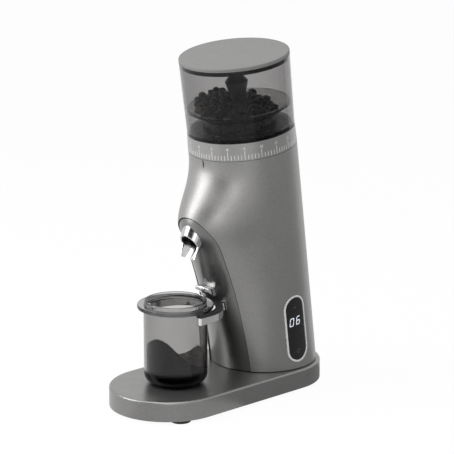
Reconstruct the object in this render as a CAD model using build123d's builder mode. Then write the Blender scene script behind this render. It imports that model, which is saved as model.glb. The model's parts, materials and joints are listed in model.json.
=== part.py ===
from build123d import *

import os
from math import acos, cos, exp, isclose, pi, radians, sin, sqrt, tan

# A burr coffee grinder: a leaning column on a flat base plate, with a bean hopper on top, a grind ring under
# it, a nose with a spout at the front, and a dosing cup that stands on the base under the spout.
# Millimetres, +Z up, the front towards -Y, the origin under the middle of the base at the level of the feet.
# Heights on the column are measured along its leaning axis from the top of the base plate.

# Driving dimensions of the base
base_length = 245.2
base_width = 116
base_height = 19.6
base_wall = 3.5
base_edge_round = 2.2
foot_height = 3
foot_radius = 10
foot_spigot_radius = 3
foot_side_margin = 16
foot_front_margin = 36
foot_rear_margin = 46
foot_edge_round = 0.8
cover_thickness = 2
cover_screw_side = 30
cover_screw_lead = 35.4
cover_screw_gap = 4.8
screw_boss_radius = 4.2
gland_radius = 4.6
gland_flange_radius = 6
gland_flange_depth = 1.5
gland_depth = 12
gland_hole_radius = 3
cable_hole_radius = 12

# Driving dimensions of the column
lean = 7.3
column_radius = 53.8
shell_wall = 2.8
column_height = 226.8
nose_height = 161
nose_reach = 30
nose_spread = 36
nose_root_height = 221
nose_lower_power = 1.8
nose_upper_power = 1.7
ledge_drop = 13.8
column_boss_radius = 5
column_boss_length = 18
column_boss_angle = 30
column_boss_overlap = 1.5

# Driving dimensions of the front panel and the spout
arch_foot_half_width = 30.6
arch_half_width = 25.8
arch_drop = 11.6
panel_step = 1.2
panel_wall = 2.4
spout_wall = 1.5
spout_drop = 25.6
spout_fall = 61
spout_root_half_width = 13.4
spout_root_depth = 11
spout_root_side = 6
spout_root_roof = 15
spout_tip_half_width = 10.5
spout_tip_depth = 4.5
spout_tip_side = 3
spout_tip_roof = 12
spout_length = 33
hood_proud = 4
hood_drop = 2.2
hood_undercut = 7
hood_mouth_height = 11.5
chute_radius = 12.8
chute_lip = 2
chute_length = 50

# Driving dimensions of the cup and its fork
cup_forward = 15.5
cup_height = 83.9
cup_radius = 31.3
cup_wall = 2.4
cup_floor = 7.5
cup_bottom_round = 11
cup_inner_round = 5
cup_flange_radius = 37.5
cup_flange_height = 76.6
cup_flange_thickness = 3.6
cup_collar_radius = 30.6
cup_rim_round = 0.9
fork_side_gap = 2.1
fork_rear_gap = 9.7
fork_arm_width = 8
fork_arm_height = 7.4
fork_tip_lead = 5
fork_tip_round = 2.4
fork_edge_round = 0.7
fork_neck_width = 34
fork_neck_length = 16
fork_pad_thickness = 2
fork_pad_inset = 0.7
fork_screw_spacing = 14
fork_boss_radius = 4.5
fork_boss_height = 3.6
hook_width = 18.5
hook_height = 8
hook_rise = 7
hook_reach = 7
hook_hollow_depth = 1.8
hook_lip = 3
hook_round = 1.2

# Driving dimensions of the display
display_height = 43
display_length = 70
display_width = 27.5
bezel_border = 1.8
bezel_proud = 0.5
bezel_depth = 7
bezel_flange = 3
glass_thickness = 2
display_board_thickness = 1.6

# Driving dimensions of the adjusting ring, the hopper and the lid
ring_height = 17.3
ring_top_radius = 53.1
ring_lip = 4.4
ring_thread_radius = 47.1
hopper_height = 71.1
hopper_lower_radius = 53.1
hopper_upper_radius = 54.3
hopper_wall = 2
hopper_floor = 2.4
funnel_radius = 37
funnel_wall = 1.8
funnel_neck_height = 13
funnel_cone_height = 9
funnel_lip_height = 2
spigot_wall = 1.7
spigot_depth = 16
spigot_flange_radius = 46
spigot_flange_thickness = 1.4
lid_thickness = 3.5
lid_edge_round = 1.2
seal_depth = 4.6
seal_width = 2
stem_boss_radius = 10
stem_boss_depth = 5.5
stem_radius = 6.4
stem_neck_length = 13
stem_plug_radius = 11.5
stem_plug_rise = 6
stem_plug_length = 26
stem_plug_tip_radius = 4.5

# Driving dimensions of the grind chamber and the burrs
chamber_bore_radius = 42
chamber_wall = 2
chamber_depth = 41
chamber_floor_thickness = 22
chamber_floor_slope = 14
chamber_flange_radius = 50.4
chamber_flange_thickness = 4
chamber_shoulder_radius = 46.6
chamber_collar_rise = 7.8
carrier_bore_radius = 36.4
carrier_throat_radius = 26
carrier_throat_length = 2
carrier_funnel_length = 12
carrier_thread_length = 7.6
carrier_screw_web = 3
carrier_travel = 1
chamber_screw_count = 4
chamber_screw_turn = 45
burr_seat_depth = 3
key_width = 5
key_depth = 1.2
clip_thickness = 1.2
clip_reach = 1.8
clip_groove_depth = 0.9
ring_burr_radius = 34
ring_burr_foot_radius = 23.4
ring_burr_waist_radius = 19.5
ring_burr_top_radius = 24.5
fine_burr_length = 12
coarse_burr_length = 12
cone_burr_foot_radius = 23
cone_burr_waist_radius = 17
cone_burr_top_radius = 9
cone_burr_nose_length = 15
fine_teeth = 24
fine_tooth_depth = 1.3
fine_tooth_twist = 12
coarse_teeth = 6
coarse_tooth_depth = 3.2
coarse_tooth_twist = 40
tooth_rise_share = 0.75
burr_screw_circle = 31
burr_screw_depth = 8
burr_screw_count = 3
burr_screw_turn = 30
burr_lift = 0.7
sweeper_radius = 40
sweeper_plate = 3
sweeper_vane_height = 8
sweeper_vane_width = 4
sweeper_vanes = 4

# Driving dimensions of the gear train and the motor
gear_module = 1.25
sun_teeth = 12
planet_teeth = 12
ring_teeth = 36
planet_count = 3
pressure_angle = 25
tooth_addendum = 0.9
tooth_dedendum = 1.2
tooth_backlash = 0.2
planet_face = 12
planet_pin_radius = 2.5
planet_disc_radius = 19.8
planet_disc_thickness = 5
gear_wall = 8
gear_housing_length = 28
gear_floor = 4
gear_cover_thickness = 4
gear_screw_depth = 6
gear_screw_count = 3
gear_screw_turn = 60
drive_shaft_radius = 4
drive_bearing_radius = 11
drive_bearing_width = 7
race_groove_depth = 0.8
race_groove_width = 2
burr_nut_radius = 6.6
burr_nut_height = 5
shaft_end = 1
motor_radius = 24
motor_can_wall = 1.6
motor_length = 78
motor_cap_thickness = 7
motor_cap_spigot = 4
magnet_thickness = 4
magnet_length = 50
magnet_parting = 16
armature_gap = 0.6
armature_length = 44
armature_slots = 7
armature_slot_width = 3
armature_slot_depth = 7
commutator_radius = 8
commutator_length = 12
motor_shaft_radius = 2.5
motor_shaft_end = 3
bush_radius = 6
bush_length = 6

# Driving dimensions of the boards and the fasteners
board_width = 66
board_length = 82
board_lead = 14.6
board_thickness = 1.6
board_post_height = 3.4
board_post_radius = 3
board_post_inset = 5
block_headroom = 1.5
block_side = 12
block_row = 16.4
transformer_width = 22
transformer_length = 16.4
relay_width = 13.2
relay_length = 13.6
capacitor_radius = 5.5
screw_radius = 1.7
screw_head_radius = 3
screw_head_height = 2.4

# Named clearances
seat_gap = 0.3
seam_gap = 0.4
fit_gap = 0.05
thread_gap = 0.1
ring_gap = 0.4

# Places that follow from the sizes above
base_top = foot_height + base_height
base_roof = base_top - base_wall
column_y = (base_length - base_width) / 2
diagonal = sqrt(0.5)
lean_sine = sin(radians(lean))
lean_cosine = cos(radians(lean))
column_foot = (0, column_y, base_top)
axis_direction = (0, -lean_sine, lean_cosine)
front_direction = (0, -lean_cosine, -lean_sine)
column_plane = Plane(origin=column_foot, x_dir=(1, 0, 0), z_dir=axis_direction)
radial_plane = Plane(origin=column_foot, x_dir=(1, 0, 0), z_dir=front_direction)
column_axis = Axis(column_foot, axis_direction)
nose_y = column_y - nose_height * lean_sine - (column_radius + nose_reach) * lean_cosine
nose_z = base_top + nose_height * lean_cosine - (column_radius + nose_reach) * lean_sine

arch_spring = nose_z - arch_drop
spout_tip_y = nose_y
spout_tip_z = nose_z - spout_drop

cup_y = spout_tip_y - cup_forward
cup_axis = Axis((0, cup_y, base_top), (0, 0, 1))
cup_plane = Plane(origin=(0, cup_y, base_top), x_dir=(1, 0, 0), z_dir=(0, -1, 0))
fork_inner_half_width = cup_radius + fork_side_gap
fork_half_width = fork_inner_half_width + fork_arm_width
fork_tip_y = cup_y - fork_tip_lead
fork_bend_y = cup_y + cup_radius + fork_rear_gap - fork_inner_half_width
fork_back_y = fork_bend_y + fork_half_width
fork_top = base_top + cup_flange_height - seat_gap - fork_pad_thickness
fork_bottom = fork_top - fork_arm_height
fork_screw_z = fork_bottom + fork_arm_height / 2
fork_screw_spots = [(-fork_screw_spacing / 2, fork_screw_z), (fork_screw_spacing / 2, fork_screw_z)]
hook_bottom = fork_top + hook_rise
hook_top = hook_bottom + hook_height
hook_screw_z = hook_bottom + hook_height / 2

ledge_height = column_height - ledge_drop
ring_bottom = column_height + ring_gap
ring_top = ring_bottom + ring_height
chamber_outer_radius = chamber_bore_radius + chamber_wall
chamber_flange_top = ledge_height + chamber_flange_thickness
chamber_rim_height = ring_bottom + chamber_collar_rise
chamber_inside_height = ledge_height - chamber_depth
chamber_floor_height = chamber_inside_height - chamber_floor_thickness
chamber_screw_circle = (chamber_outer_radius + seam_gap + column_radius - shell_wall) / 2
clip_height = ring_bottom + ring_lip + seat_gap
carrier_top = ring_top - ring_gap
carrier_flange_height = carrier_top - carrier_thread_length
hopper_bottom = carrier_top + spigot_flange_thickness
hopper_top = hopper_bottom + hopper_height
lid_bottom = hopper_top + seat_gap
lid_top = lid_bottom + lid_thickness

sweeper_bottom = chamber_inside_height + seat_gap
sweeper_top = sweeper_bottom + sweeper_plate
sweeper_vane_length = sweeper_radius - cone_burr_foot_radius - 2 * fine_tooth_depth
sweeper_vane_circle = sweeper_radius - fine_tooth_depth - sweeper_vane_length / 2
burr_foot_height = sweeper_top + sweeper_vane_height + burr_lift
burr_waist_height = burr_foot_height + fine_burr_length
ring_burr_top = burr_waist_height + coarse_burr_length
cone_burr_top = burr_waist_height + cone_burr_nose_length
carrier_foot_height = ring_burr_top - burr_seat_depth
carrier_funnel_bottom = ring_burr_top + carrier_throat_length
carrier_funnel_top = carrier_funnel_bottom + carrier_funnel_length
carrier_screw_seat = ring_burr_top + carrier_screw_web

bearing_bottom = chamber_inside_height - drive_bearing_width - seat_gap
gear_top = chamber_floor_height - gear_cover_thickness
gear_bottom = gear_top - gear_housing_length
ring_gear_pitch = gear_module * ring_teeth / 2
ring_gear_root = ring_gear_pitch + gear_module * tooth_dedendum
gear_housing_radius = ring_gear_root + gear_wall
gear_screw_circle = ring_gear_root + gear_wall / 2
planet_circle = gear_module * (sun_teeth + planet_teeth) / 2
planet_disc_top = gear_top - seat_gap
planet_disc_bottom = planet_disc_top - planet_disc_thickness
planet_top = planet_disc_bottom - seat_gap
planet_bottom = planet_top - planet_face
motor_bottom = gear_bottom - motor_length
motor_cap_top = motor_bottom + motor_cap_thickness
motor_inside_radius = motor_radius - motor_can_wall
magnet_bottom = gear_bottom - motor_can_wall - magnet_length - motor_can_wall
armature_radius = motor_inside_radius - magnet_thickness - armature_gap
armature_bottom = magnet_bottom + (magnet_length - armature_length) / 2
board_y = board_lead - column_y
board_bottom = foot_height + cover_thickness + board_post_height

foot_spots = [
    (side * (base_width / 2 - foot_side_margin), row)
    for side in (-1, 1)
    for row in (foot_front_margin - base_length / 2, base_length / 2 - foot_rear_margin)
]
cover_rows = [
    -column_y - cover_screw_lead,
    board_y + board_length / 2 + screw_boss_radius + cover_screw_gap,
    column_y + cover_screw_lead,
]
cover_spots = [(side * cover_screw_side, row) for side in (-1, 1) for row in cover_rows]
column_boss_circle = column_radius - shell_wall - column_boss_radius + column_boss_overlap
column_spots = [
    (column_boss_circle * cos(radians(angle)), column_y + column_boss_circle * sin(radians(angle)))
    for angle in (column_boss_angle, 180 - column_boss_angle, 180 + column_boss_angle, -column_boss_angle)
]
board_spots = [
    (side * (board_width / 2 - board_post_inset), board_y + end * (board_length / 2 - board_post_inset))
    for side in (-1, 1)
    for end in (-1, 1)
]

# Levels of the column's loft: below the base's top, up to the nose, and on to the nose's root
outline_points = 24
level_gap = 2
foot_overhang = 2 * column_radius * tan(radians(lean))
body_heights = [-foot_overhang]
body_heights += [nose_height * share for share in (0.16, 0.32, 0.48, 0.64, 0.78, 0.9, 1)]
upper_shares = (0.18, 0.4, 0.62, 0.82, 1)
body_heights += [nose_height + (nose_root_height - nose_height) * share for share in upper_shares]

os.makedirs("parts", exist_ok=True)


def save(piece, name):
    """Label a finished piece and write it as one STEP file."""
    piece.part.label = name
    export_step(piece.part, f"parts/{name}.step")


def station(height):
    """The plane square to the column's axis at a height along it."""
    return column_plane.offset(height)


def turned(outline, mode=Mode.ADD):
    """Turn an outline of (radius, height) points about the column's axis."""
    with BuildSketch(radial_plane) as half:
        with BuildLine():
            Polyline(*outline, close=True)
        make_face()
    revolve(half.sketch, axis=column_axis, mode=mode)


def tube(bottom, top, outer, inner=0, mode=Mode.ADD):
    """A straight tube or rod on the column's axis."""
    turned([(inner, bottom), (outer, bottom), (outer, top), (inner, top)], mode)


def rods(bottom, top, radius, circle, count, start=0, mode=Mode.ADD):
    """A circle of rods along the column's axis."""
    with BuildSketch(station(bottom)) as spots:
        with PolarLocations(circle, count, start_angle=start):
            Circle(radius)
    extrude(spots.sketch, amount=top - bottom, mode=mode)


def bulge(height):
    """How far the nose stands out at a height: a power curve up to its tip, a cosine curve above it."""
    if height <= 0 or height >= nose_root_height:
        return 0
    if height <= nose_height:
        return nose_reach * (height / nose_height) ** nose_lower_power
    share = (height - nose_height) / (nose_root_height - nose_height)
    return nose_reach * cos(share * pi / 2) ** nose_upper_power


def body_outline(height, inset):
    """Points of the column's section: a circle with a bell-shaped bulge at the front."""
    points = []
    for step in range(outline_points):
        angle = 2 * pi * step / outline_points - pi
        swell = bulge(height) * exp(-((angle / radians(nose_spread)) ** 2))
        reach = column_radius + swell - inset
        points.append((reach * sin(angle), -reach * cos(angle)))
    return points


def body(top, inset, mode=Mode.ADD):
    """The column's swelling form up to a height, drawn in by an inset, as a smooth loft."""
    faces = []
    for height in [h for h in body_heights if h < top - level_gap] + [top]:
        with BuildSketch(station(height)) as level:
            with BuildLine():
                Spline(*body_outline(height, inset), periodic=True)
            make_face()
        faces.append(level.sketch.face())
    loft(faces, mode=mode)


def front_y(level, inset):
    """Where the column's front stands at a level of Z, found by stepping along the leaning axis."""
    height = level - base_top
    for _ in range(outline_points):
        reach = column_radius + bulge(height) - inset
        height = (level - base_top + reach * lean_sine) / lean_cosine
    return column_y - height * lean_sine - reach * lean_cosine


def arch(margin, mode):
    """The arched field of the front panel, carried along Y through the column's front wall."""
    with BuildSketch(Plane.XZ.offset(-column_y / 2)) as field:
        with BuildLine():
            foot = arch_foot_half_width - margin
            side = arch_half_width - margin
            Polyline((-side, arch_spring), (-foot, 0), (foot, 0), (side, arch_spring))
            ThreePointArc((side, arch_spring), (0, arch_spring + side), (-side, arch_spring))
        make_face()
    extrude(field.sketch, amount=column_y + column_radius, mode=mode)


def chute_plane(distance):
    """The plane square to the spout at a distance up from its tip; its local +Y looks forwards and up."""
    fall = radians(spout_fall)
    down = (0, -cos(fall), -sin(fall))
    origin = (0, spout_tip_y + distance * cos(fall), spout_tip_z + distance * sin(fall))
    return Plane(origin=origin, x_dir=(1, 0, 0), z_dir=down)


def spout_section(distance, half_width, depth, side, roof, margin):
    """A closed section of the spout, drawn in by a margin: a rounded back, straight sides, an arched roof."""
    half = half_width - margin
    with BuildSketch(chute_plane(distance)) as section_sketch:
        with BuildLine():
            ThreePointArc((-half, 0), (0, margin - depth), (half, 0))
            Line((half, 0), (half, side))
            ThreePointArc((half, side), (0, roof - margin), (-half, side))
            Line((-half, side), (-half, 0))
        make_face()
    return section_sketch.sketch.face()


def spout_tube(margin, mode, run_on=0):
    """The spout's tapering tube from its root to its tip, drawn in by a margin and run on past both ends."""
    root = (spout_root_half_width, spout_root_depth, spout_root_side, spout_root_roof, margin)
    tip = (spout_tip_half_width, spout_tip_depth, spout_tip_side, spout_tip_roof, margin)
    loft([spout_section(spout_length + run_on, *root), spout_section(-run_on, *tip)], ruled=True, mode=mode)


def channel(radius, lip, start, length, mode):
    """A closed half-round channel that slopes down to the spout."""
    with BuildSketch(chute_plane(start + length)) as bore:
        with BuildLine():
            Polyline((-radius, 0), (-radius, lip), (radius, lip), (radius, 0))
            ThreePointArc((radius, 0), (0, -radius), (-radius, 0))
        make_face()
    extrude(bore.sketch, amount=length, mode=mode)


def tooth_half_angle(radius, teeth, pitch, base, allowance):
    """Half the angle of an involute tooth at a radius."""
    roll = acos(base / pitch)
    rolled = acos(min(1, base / max(radius, base)))
    involute = tan(roll) - roll - (tan(rolled) - rolled)
    return pi / (2 * teeth) - allowance / (2 * pitch) + involute


def gear_outline(teeth, tip, root, allowance, turn):
    """Corner points of a spur gear with involute flanks, each from its root over the pitch line to its tip."""
    pitch = gear_module * teeth / 2
    base = pitch * cos(radians(pressure_angle))
    flank = [(r, tooth_half_angle(r, teeth, pitch, base, allowance)) for r in (root, pitch, tip)]
    points = []
    for tooth in range(teeth):
        middle = 2 * pi * tooth / teeth + radians(turn)
        points += [(r * cos(middle - half), r * sin(middle - half)) for r, half in flank]
        points += [(r * cos(middle + half), r * sin(middle + half)) for r, half in reversed(flank)]
    return points


def gear_face(bottom, face, teeth, turn, place=(0, 0), mode=Mode.ADD):
    """Extrude an outside gear on the column's axis or beside it."""
    pitch = gear_module * teeth / 2
    tip = pitch + gear_module * tooth_addendum
    root = pitch - gear_module * tooth_dedendum
    with BuildSketch(station(bottom)) as blank:
        with Locations(place):
            Polygon(*gear_outline(teeth, tip, root, tooth_backlash / 2, turn), align=None)
    extrude(blank.sketch, amount=face, mode=mode)


def burr_outline(radius, depth, teeth, twist):
    """Corner points of a saw-toothed ring: each tooth rises slowly and drops steeply."""
    points = []
    for tooth in range(teeth):
        start = 2 * pi * tooth / teeth + radians(twist)
        drop = start + 2 * pi / teeth * tooth_rise_share
        points.append((radius * cos(start), radius * sin(start)))
        points.append(((radius - depth) * cos(drop), (radius - depth) * sin(drop)))
    return points


def burr_loft(levels, teeth, mode=Mode.ADD):
    """Loft saw-toothed rings through levels of (height, radius, tooth depth, twist)."""
    faces = []
    for height, radius, depth, twist in levels:
        with BuildSketch(station(height)) as ring_level:
            Polygon(*burr_outline(radius, depth, teeth, twist), align=None)
        faces.append(ring_level.sketch.face())
    loft(faces, ruled=True, mode=mode)


def stadium(margin):
    """The base's outline, drawn in by a margin."""
    return SlotOverall(base_length - 2 * margin, base_width - 2 * margin, rotation=90)


def display_slot(start, depth, margin, mode=Mode.ADD):
    """The upright slot of the display, carried outwards from a distance to the column's axis."""
    slot_plane = Plane(
        origin=station(display_height).origin,
        x_dir=(0, lean_cosine, lean_sine),
        z_dir=(1, 0, 0),
    )
    with BuildSketch(slot_plane.offset(start)) as slot:
        SlotOverall(display_length - 2 * margin, display_width - 2 * margin, rotation=90)
    extrude(slot.sketch, amount=depth, mode=mode)


def screws(head_plane, spots, length):
    """A group of pan-head screws: each shank runs from its head along the plane's normal."""
    with BuildSketch(head_plane) as shanks:
        with Locations(*spots):
            Circle(screw_radius)
    extrude(shanks.sketch, amount=length)
    with BuildSketch(head_plane) as heads:
        with Locations(*spots):
            Circle(screw_head_radius)
    extrude(heads.sketch, amount=-screw_head_height)


def circle_spots(circle, count, start=0):
    """Points of a bolt circle."""
    angles = [radians(start) + 2 * pi * step / count for step in range(count)]
    return [(circle * cos(angle), circle * sin(angle)) for angle in angles]


# Base plate: a stadium casting, hollow from below, with bosses for the cover
with BuildPart() as base_plate:
    with BuildSketch(Plane.XY.offset(foot_height)):
        stadium(0)
    extrude(amount=base_height)
    fillet(base_plate.faces().sort_by(Axis.Z)[-1].edges(), radius=base_edge_round)
    with BuildSketch(Plane.XY.offset(foot_height)):
        stadium(base_wall)
    extrude(amount=base_height - base_wall, mode=Mode.SUBTRACT)
    with BuildSketch(Plane.XY.offset(foot_height + cover_thickness)):
        with Locations(*cover_spots):
            Circle(screw_boss_radius)
    extrude(amount=base_height - cover_thickness - base_wall)
    with BuildSketch(Plane.XY.offset(foot_height + cover_thickness)):
        with Locations(*cover_spots):
            Circle(screw_radius + fit_gap)
    extrude(amount=base_height - cover_thickness - 2 * base_wall, mode=Mode.SUBTRACT)
    with BuildSketch(Plane.XY.offset(foot_height + cover_thickness)):
        with Locations(*column_spots):
            Circle(screw_head_radius + seat_gap)
    extrude(amount=base_roof - foot_height - cover_thickness, mode=Mode.SUBTRACT)
    with BuildSketch(Plane.XY.offset(base_roof)):
        with Locations(*column_spots):
            Circle(screw_radius + fit_gap)
        with Locations((0, column_y)):
            Circle(cable_hole_radius)
    extrude(amount=base_wall, mode=Mode.SUBTRACT)
    with BuildSketch(Plane.XZ.offset(-base_length / 2)):
        with Locations((0, foot_height + base_height / 2)):
            Circle(gland_radius + fit_gap)
    extrude(amount=gland_depth, mode=Mode.SUBTRACT)
save(base_plate, "base_plate")

# Base cover: a plate that closes the base from below, with posts for the control board
with BuildPart() as base_cover:
    with BuildSketch(Plane.XY.offset(foot_height)):
        stadium(base_wall + seat_gap)
    extrude(amount=cover_thickness)
    with BuildSketch(Plane.XY.offset(foot_height)):
        with Locations(*board_spots):
            Circle(board_post_radius)
    extrude(amount=cover_thickness + board_post_height)
    with BuildSketch(Plane.XY.offset(foot_height + cover_thickness)):
        with Locations(*board_spots):
            Circle(screw_radius + fit_gap)
    extrude(amount=board_post_height, mode=Mode.SUBTRACT)
    with BuildSketch(Plane.XY.offset(foot_height)):
        with Locations(*cover_spots):
            Circle(screw_radius + fit_gap)
        with Locations(*foot_spots):
            Circle(foot_spigot_radius + fit_gap)
    extrude(amount=cover_thickness, mode=Mode.SUBTRACT)
save(base_cover, "base_cover")

# Cover screws: heads under the cover, within the height of the feet
with BuildPart() as cover_screws:
    screws(Plane.XY.offset(foot_height), cover_spots, base_height - 2 * base_wall)
save(cover_screws, "cover_screws")

# Rubber feet with a spigot in the cover
with BuildPart() as rubber_feet:
    with BuildSketch(Plane.XY):
        with Locations(*foot_spots):
            Circle(foot_radius)
    extrude(amount=foot_height)
    fillet(rubber_feet.faces().filter_by(Axis.Z).sort_by(Axis.Z)[0:4].edges(), radius=foot_edge_round)
    with BuildSketch(Plane.XY.offset(foot_height)):
        with Locations(*foot_spots):
            Circle(foot_spigot_radius)
    extrude(amount=cover_thickness + seat_gap)
save(rubber_feet, "rubber_feet")

# Cord gland: a bush in the rear wall of the base
with BuildPart() as cord_gland:
    with BuildSketch(Plane.XZ.offset(-base_length / 2)):
        with Locations((0, foot_height + base_height / 2)):
            Circle(gland_radius)
    extrude(amount=gland_depth)
    with BuildSketch(Plane.XZ.offset(-base_length / 2 + base_wall + 2 * seat_gap)):
        with Locations((0, foot_height + base_height / 2)):
            Circle(gland_flange_radius)
    extrude(amount=gland_flange_depth)
    with BuildSketch(Plane.XZ.offset(-base_length / 2)):
        with Locations((0, foot_height + base_height / 2)):
            Circle(gland_hole_radius)
    extrude(amount=gland_depth, mode=Mode.SUBTRACT)
save(cord_gland, "cord_gland")

# Control board in the base, with a filter block, a relay and two capacitors
block_height = base_roof - board_bottom - board_thickness - block_headroom
with BuildPart() as control_board:
    with BuildSketch(Plane.XY.offset(board_bottom)):
        with Locations((0, board_y)):
            RectangleRounded(board_width, board_length, board_post_inset / 2)
    extrude(amount=board_thickness)
    with BuildSketch(Plane.XY.offset(board_bottom + board_thickness)):
        with Locations((-block_side, board_y - block_row)):
            Rectangle(transformer_width, transformer_length)
        with Locations((block_side, board_y - block_row)):
            Rectangle(relay_width, relay_length)
        with Locations((-block_side, board_y + block_row), (block_side, board_y + block_row)):
            Circle(capacitor_radius)
    extrude(amount=block_height)
    with BuildSketch(Plane.XY.offset(board_bottom)):
        with Locations(*board_spots):
            Circle(screw_radius + fit_gap)
    extrude(amount=board_thickness, mode=Mode.SUBTRACT)
save(control_board, "control_board")

# Board screws: down into the cover's posts
with BuildPart() as board_screws:
    screws(
        Plane(origin=(0, 0, board_bottom + board_thickness), x_dir=(1, 0, 0), z_dir=(0, 0, -1)),
        [(x, -y) for x, y in board_spots],
        board_thickness + board_post_height,
    )
save(board_screws, "board_screws")

# Column shell: a leaning tube that swells into the nose, with a ledge that carries the grind chamber
with BuildPart() as column_shell:
    body(column_height, 0)
    body(ledge_height - shell_wall, shell_wall, Mode.SUBTRACT)
    tube(ledge_height - 2 * shell_wall, ledge_height, chamber_outer_radius + seam_gap, mode=Mode.SUBTRACT)
    tube(ledge_height, column_height, column_radius - shell_wall, mode=Mode.SUBTRACT)
    chute_room = chute_length + 2 * seat_gap
    channel(chute_radius + seat_gap, chute_lip + seat_gap, spout_length, chute_room, Mode.SUBTRACT)
    with BuildSketch(Plane.XY.offset(base_top - foot_overhang)):
        with Locations(*column_spots):
            Circle(column_boss_radius)
    extrude(amount=column_boss_length + foot_overhang)
    arch(0, Mode.SUBTRACT)
    split(bisect_by=Plane.XY.offset(base_top), keep=Keep.TOP)
    with BuildSketch(Plane.XY.offset(base_top)):
        with Locations(*column_spots):
            Circle(screw_radius + fit_gap)
    extrude(amount=column_boss_length - shell_wall, mode=Mode.SUBTRACT)
    display_slot(column_radius / 2, column_radius, -seat_gap, Mode.SUBTRACT)
    rods(
        ledge_height - 2 * shell_wall, ledge_height, screw_radius + fit_gap,
        chamber_screw_circle, chamber_screw_count, chamber_screw_turn, Mode.SUBTRACT,
    )
save(column_shell, "column_shell")

# Column screws: up through the base's roof into the shell's bosses
with BuildPart() as column_screws:
    screws(Plane.XY.offset(base_roof), column_spots, column_boss_length - shell_wall)
save(column_screws, "column_screws")

# Front panel: the same swelling form, one step in, in the shell's arch, with screw bosses behind it
fork_screw_head_y = front_y(fork_screw_z, panel_step + panel_wall) + fork_boss_height
hook_screw_head_y = front_y(hook_screw_z, panel_step + panel_wall) + fork_boss_height
with BuildPart() as front_panel:
    body(column_height, panel_step)
    body(column_height, panel_step + panel_wall, Mode.SUBTRACT)
    with BuildSketch(Plane.XZ.offset(-fork_screw_head_y)):
        with Locations(*fork_screw_spots):
            Circle(fork_boss_radius)
    extrude(amount=fork_boss_height + panel_wall)
    with BuildSketch(Plane.XZ.offset(-hook_screw_head_y)):
        with Locations((0, hook_screw_z)):
            Circle(fork_boss_radius)
    extrude(amount=fork_boss_height + panel_wall)
    body(column_height, panel_step, Mode.INTERSECT)
    arch(seam_gap, Mode.INTERSECT)
    split(bisect_by=Plane.XY.offset(base_top), keep=Keep.TOP)
    spout_tube(-fit_gap, Mode.SUBTRACT, fit_gap)
    with BuildSketch(Plane.XZ.offset(-column_y)):
        with Locations(*fork_screw_spots, (0, hook_screw_z)):
            Circle(screw_radius + fit_gap)
    extrude(amount=column_y - fork_bend_y, mode=Mode.SUBTRACT)
save(front_panel, "front_panel")

# Spout: a chrome tube through the panel, with a hood above its mouth and an open tongue below it
hood_front_y = nose_y + panel_step - hood_proud
hood_front_z = nose_z - hood_drop
mouth_y = hood_front_y + hood_undercut
mouth_z = hood_front_z - hood_mouth_height
with BuildPart() as spout:
    spout_tube(0, Mode.ADD)
    spout_tube(spout_wall, Mode.SUBTRACT, spout_wall)
    with BuildSketch(Plane.YZ) as mouth:
        with BuildLine():
            Polyline(
                (hood_front_y, hood_front_z), (mouth_y, mouth_z), (spout_tip_y, spout_tip_z),
                (spout_tip_y - spout_length, spout_tip_z), (spout_tip_y - spout_length, hood_front_z),
                close=True,
            )
        make_face()
    extrude(mouth.sketch, amount=spout_root_half_width, both=True, mode=Mode.SUBTRACT)
save(spout, "spout")

# Outlet chute: the closed channel between the grind chamber and the spout
with BuildPart() as outlet_chute:
    channel(chute_radius, chute_lip, spout_length + seat_gap, chute_length, Mode.ADD)
    channel(chute_radius - spout_wall, chute_lip - spout_wall, spout_length, 2 * chute_length, Mode.SUBTRACT)
    tube(0, column_height, chamber_bore_radius + seat_gap, mode=Mode.SUBTRACT)
save(outlet_chute, "outlet_chute")

# Cup fork: a U-shaped cradle, round at the back, with a neck that seats on the panel


def fork_plan(level, inset):
    """The fork's plan at a level: two straight arms with rounded tips, joined by a half ring at the back."""
    outer = fork_half_width - inset
    inner = fork_inner_half_width + inset
    arm_length = fork_bend_y - fork_tip_y - inset
    with BuildSketch(Plane.XY.offset(level)) as plan:
        with Locations((0, fork_bend_y)):
            Circle(outer)
        with Locations((0, fork_bend_y - arm_length / 2)):
            Rectangle(2 * outer, arm_length)
        with Locations((0, fork_bend_y + (outer - arm_length) / 2)):
            Rectangle(2 * outer, outer + arm_length, mode=Mode.INTERSECT)
        with Locations((0, fork_bend_y)):
            Circle(inner, mode=Mode.SUBTRACT)
        with Locations((0, fork_bend_y - arm_length)):
            Rectangle(2 * inner, 2 * arm_length, mode=Mode.SUBTRACT)
        fillet(plan.vertices().group_by(Axis.Y)[0], radius=fork_tip_round)
    return plan.sketch


with BuildPart() as cup_fork:
    extrude(fork_plan(fork_bottom, 0), amount=fork_arm_height)
    fillet(cup_fork.faces().sort_by(Axis.Z)[0].edges(), radius=fork_edge_round)
    with BuildSketch(Plane.XY.offset(fork_bottom)):
        with Locations((0, fork_back_y - fork_arm_width / 2 + fork_neck_length / 2)):
            Rectangle(fork_neck_width, fork_neck_length)
        with Locations((0, fork_bend_y)):
            Circle(fork_half_width - fork_arm_width / 2, mode=Mode.SUBTRACT)
    extrude(amount=fork_arm_height)
    body(column_height, panel_step - seat_gap, Mode.SUBTRACT)
    with BuildSketch(Plane.XZ.offset(-column_y)):
        with Locations(*fork_screw_spots):
            Circle(screw_radius + fit_gap)
    extrude(amount=column_y - fork_back_y + fork_arm_width / 2, mode=Mode.SUBTRACT)
save(cup_fork, "cup_fork")

# Fork pads: rubber on top of the arms
with BuildPart() as fork_pads:
    extrude(fork_plan(fork_top, fork_pad_inset), amount=fork_pad_thickness)
    body(column_height, panel_step - seat_gap, Mode.SUBTRACT)
save(fork_pads, "fork_pads")

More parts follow.
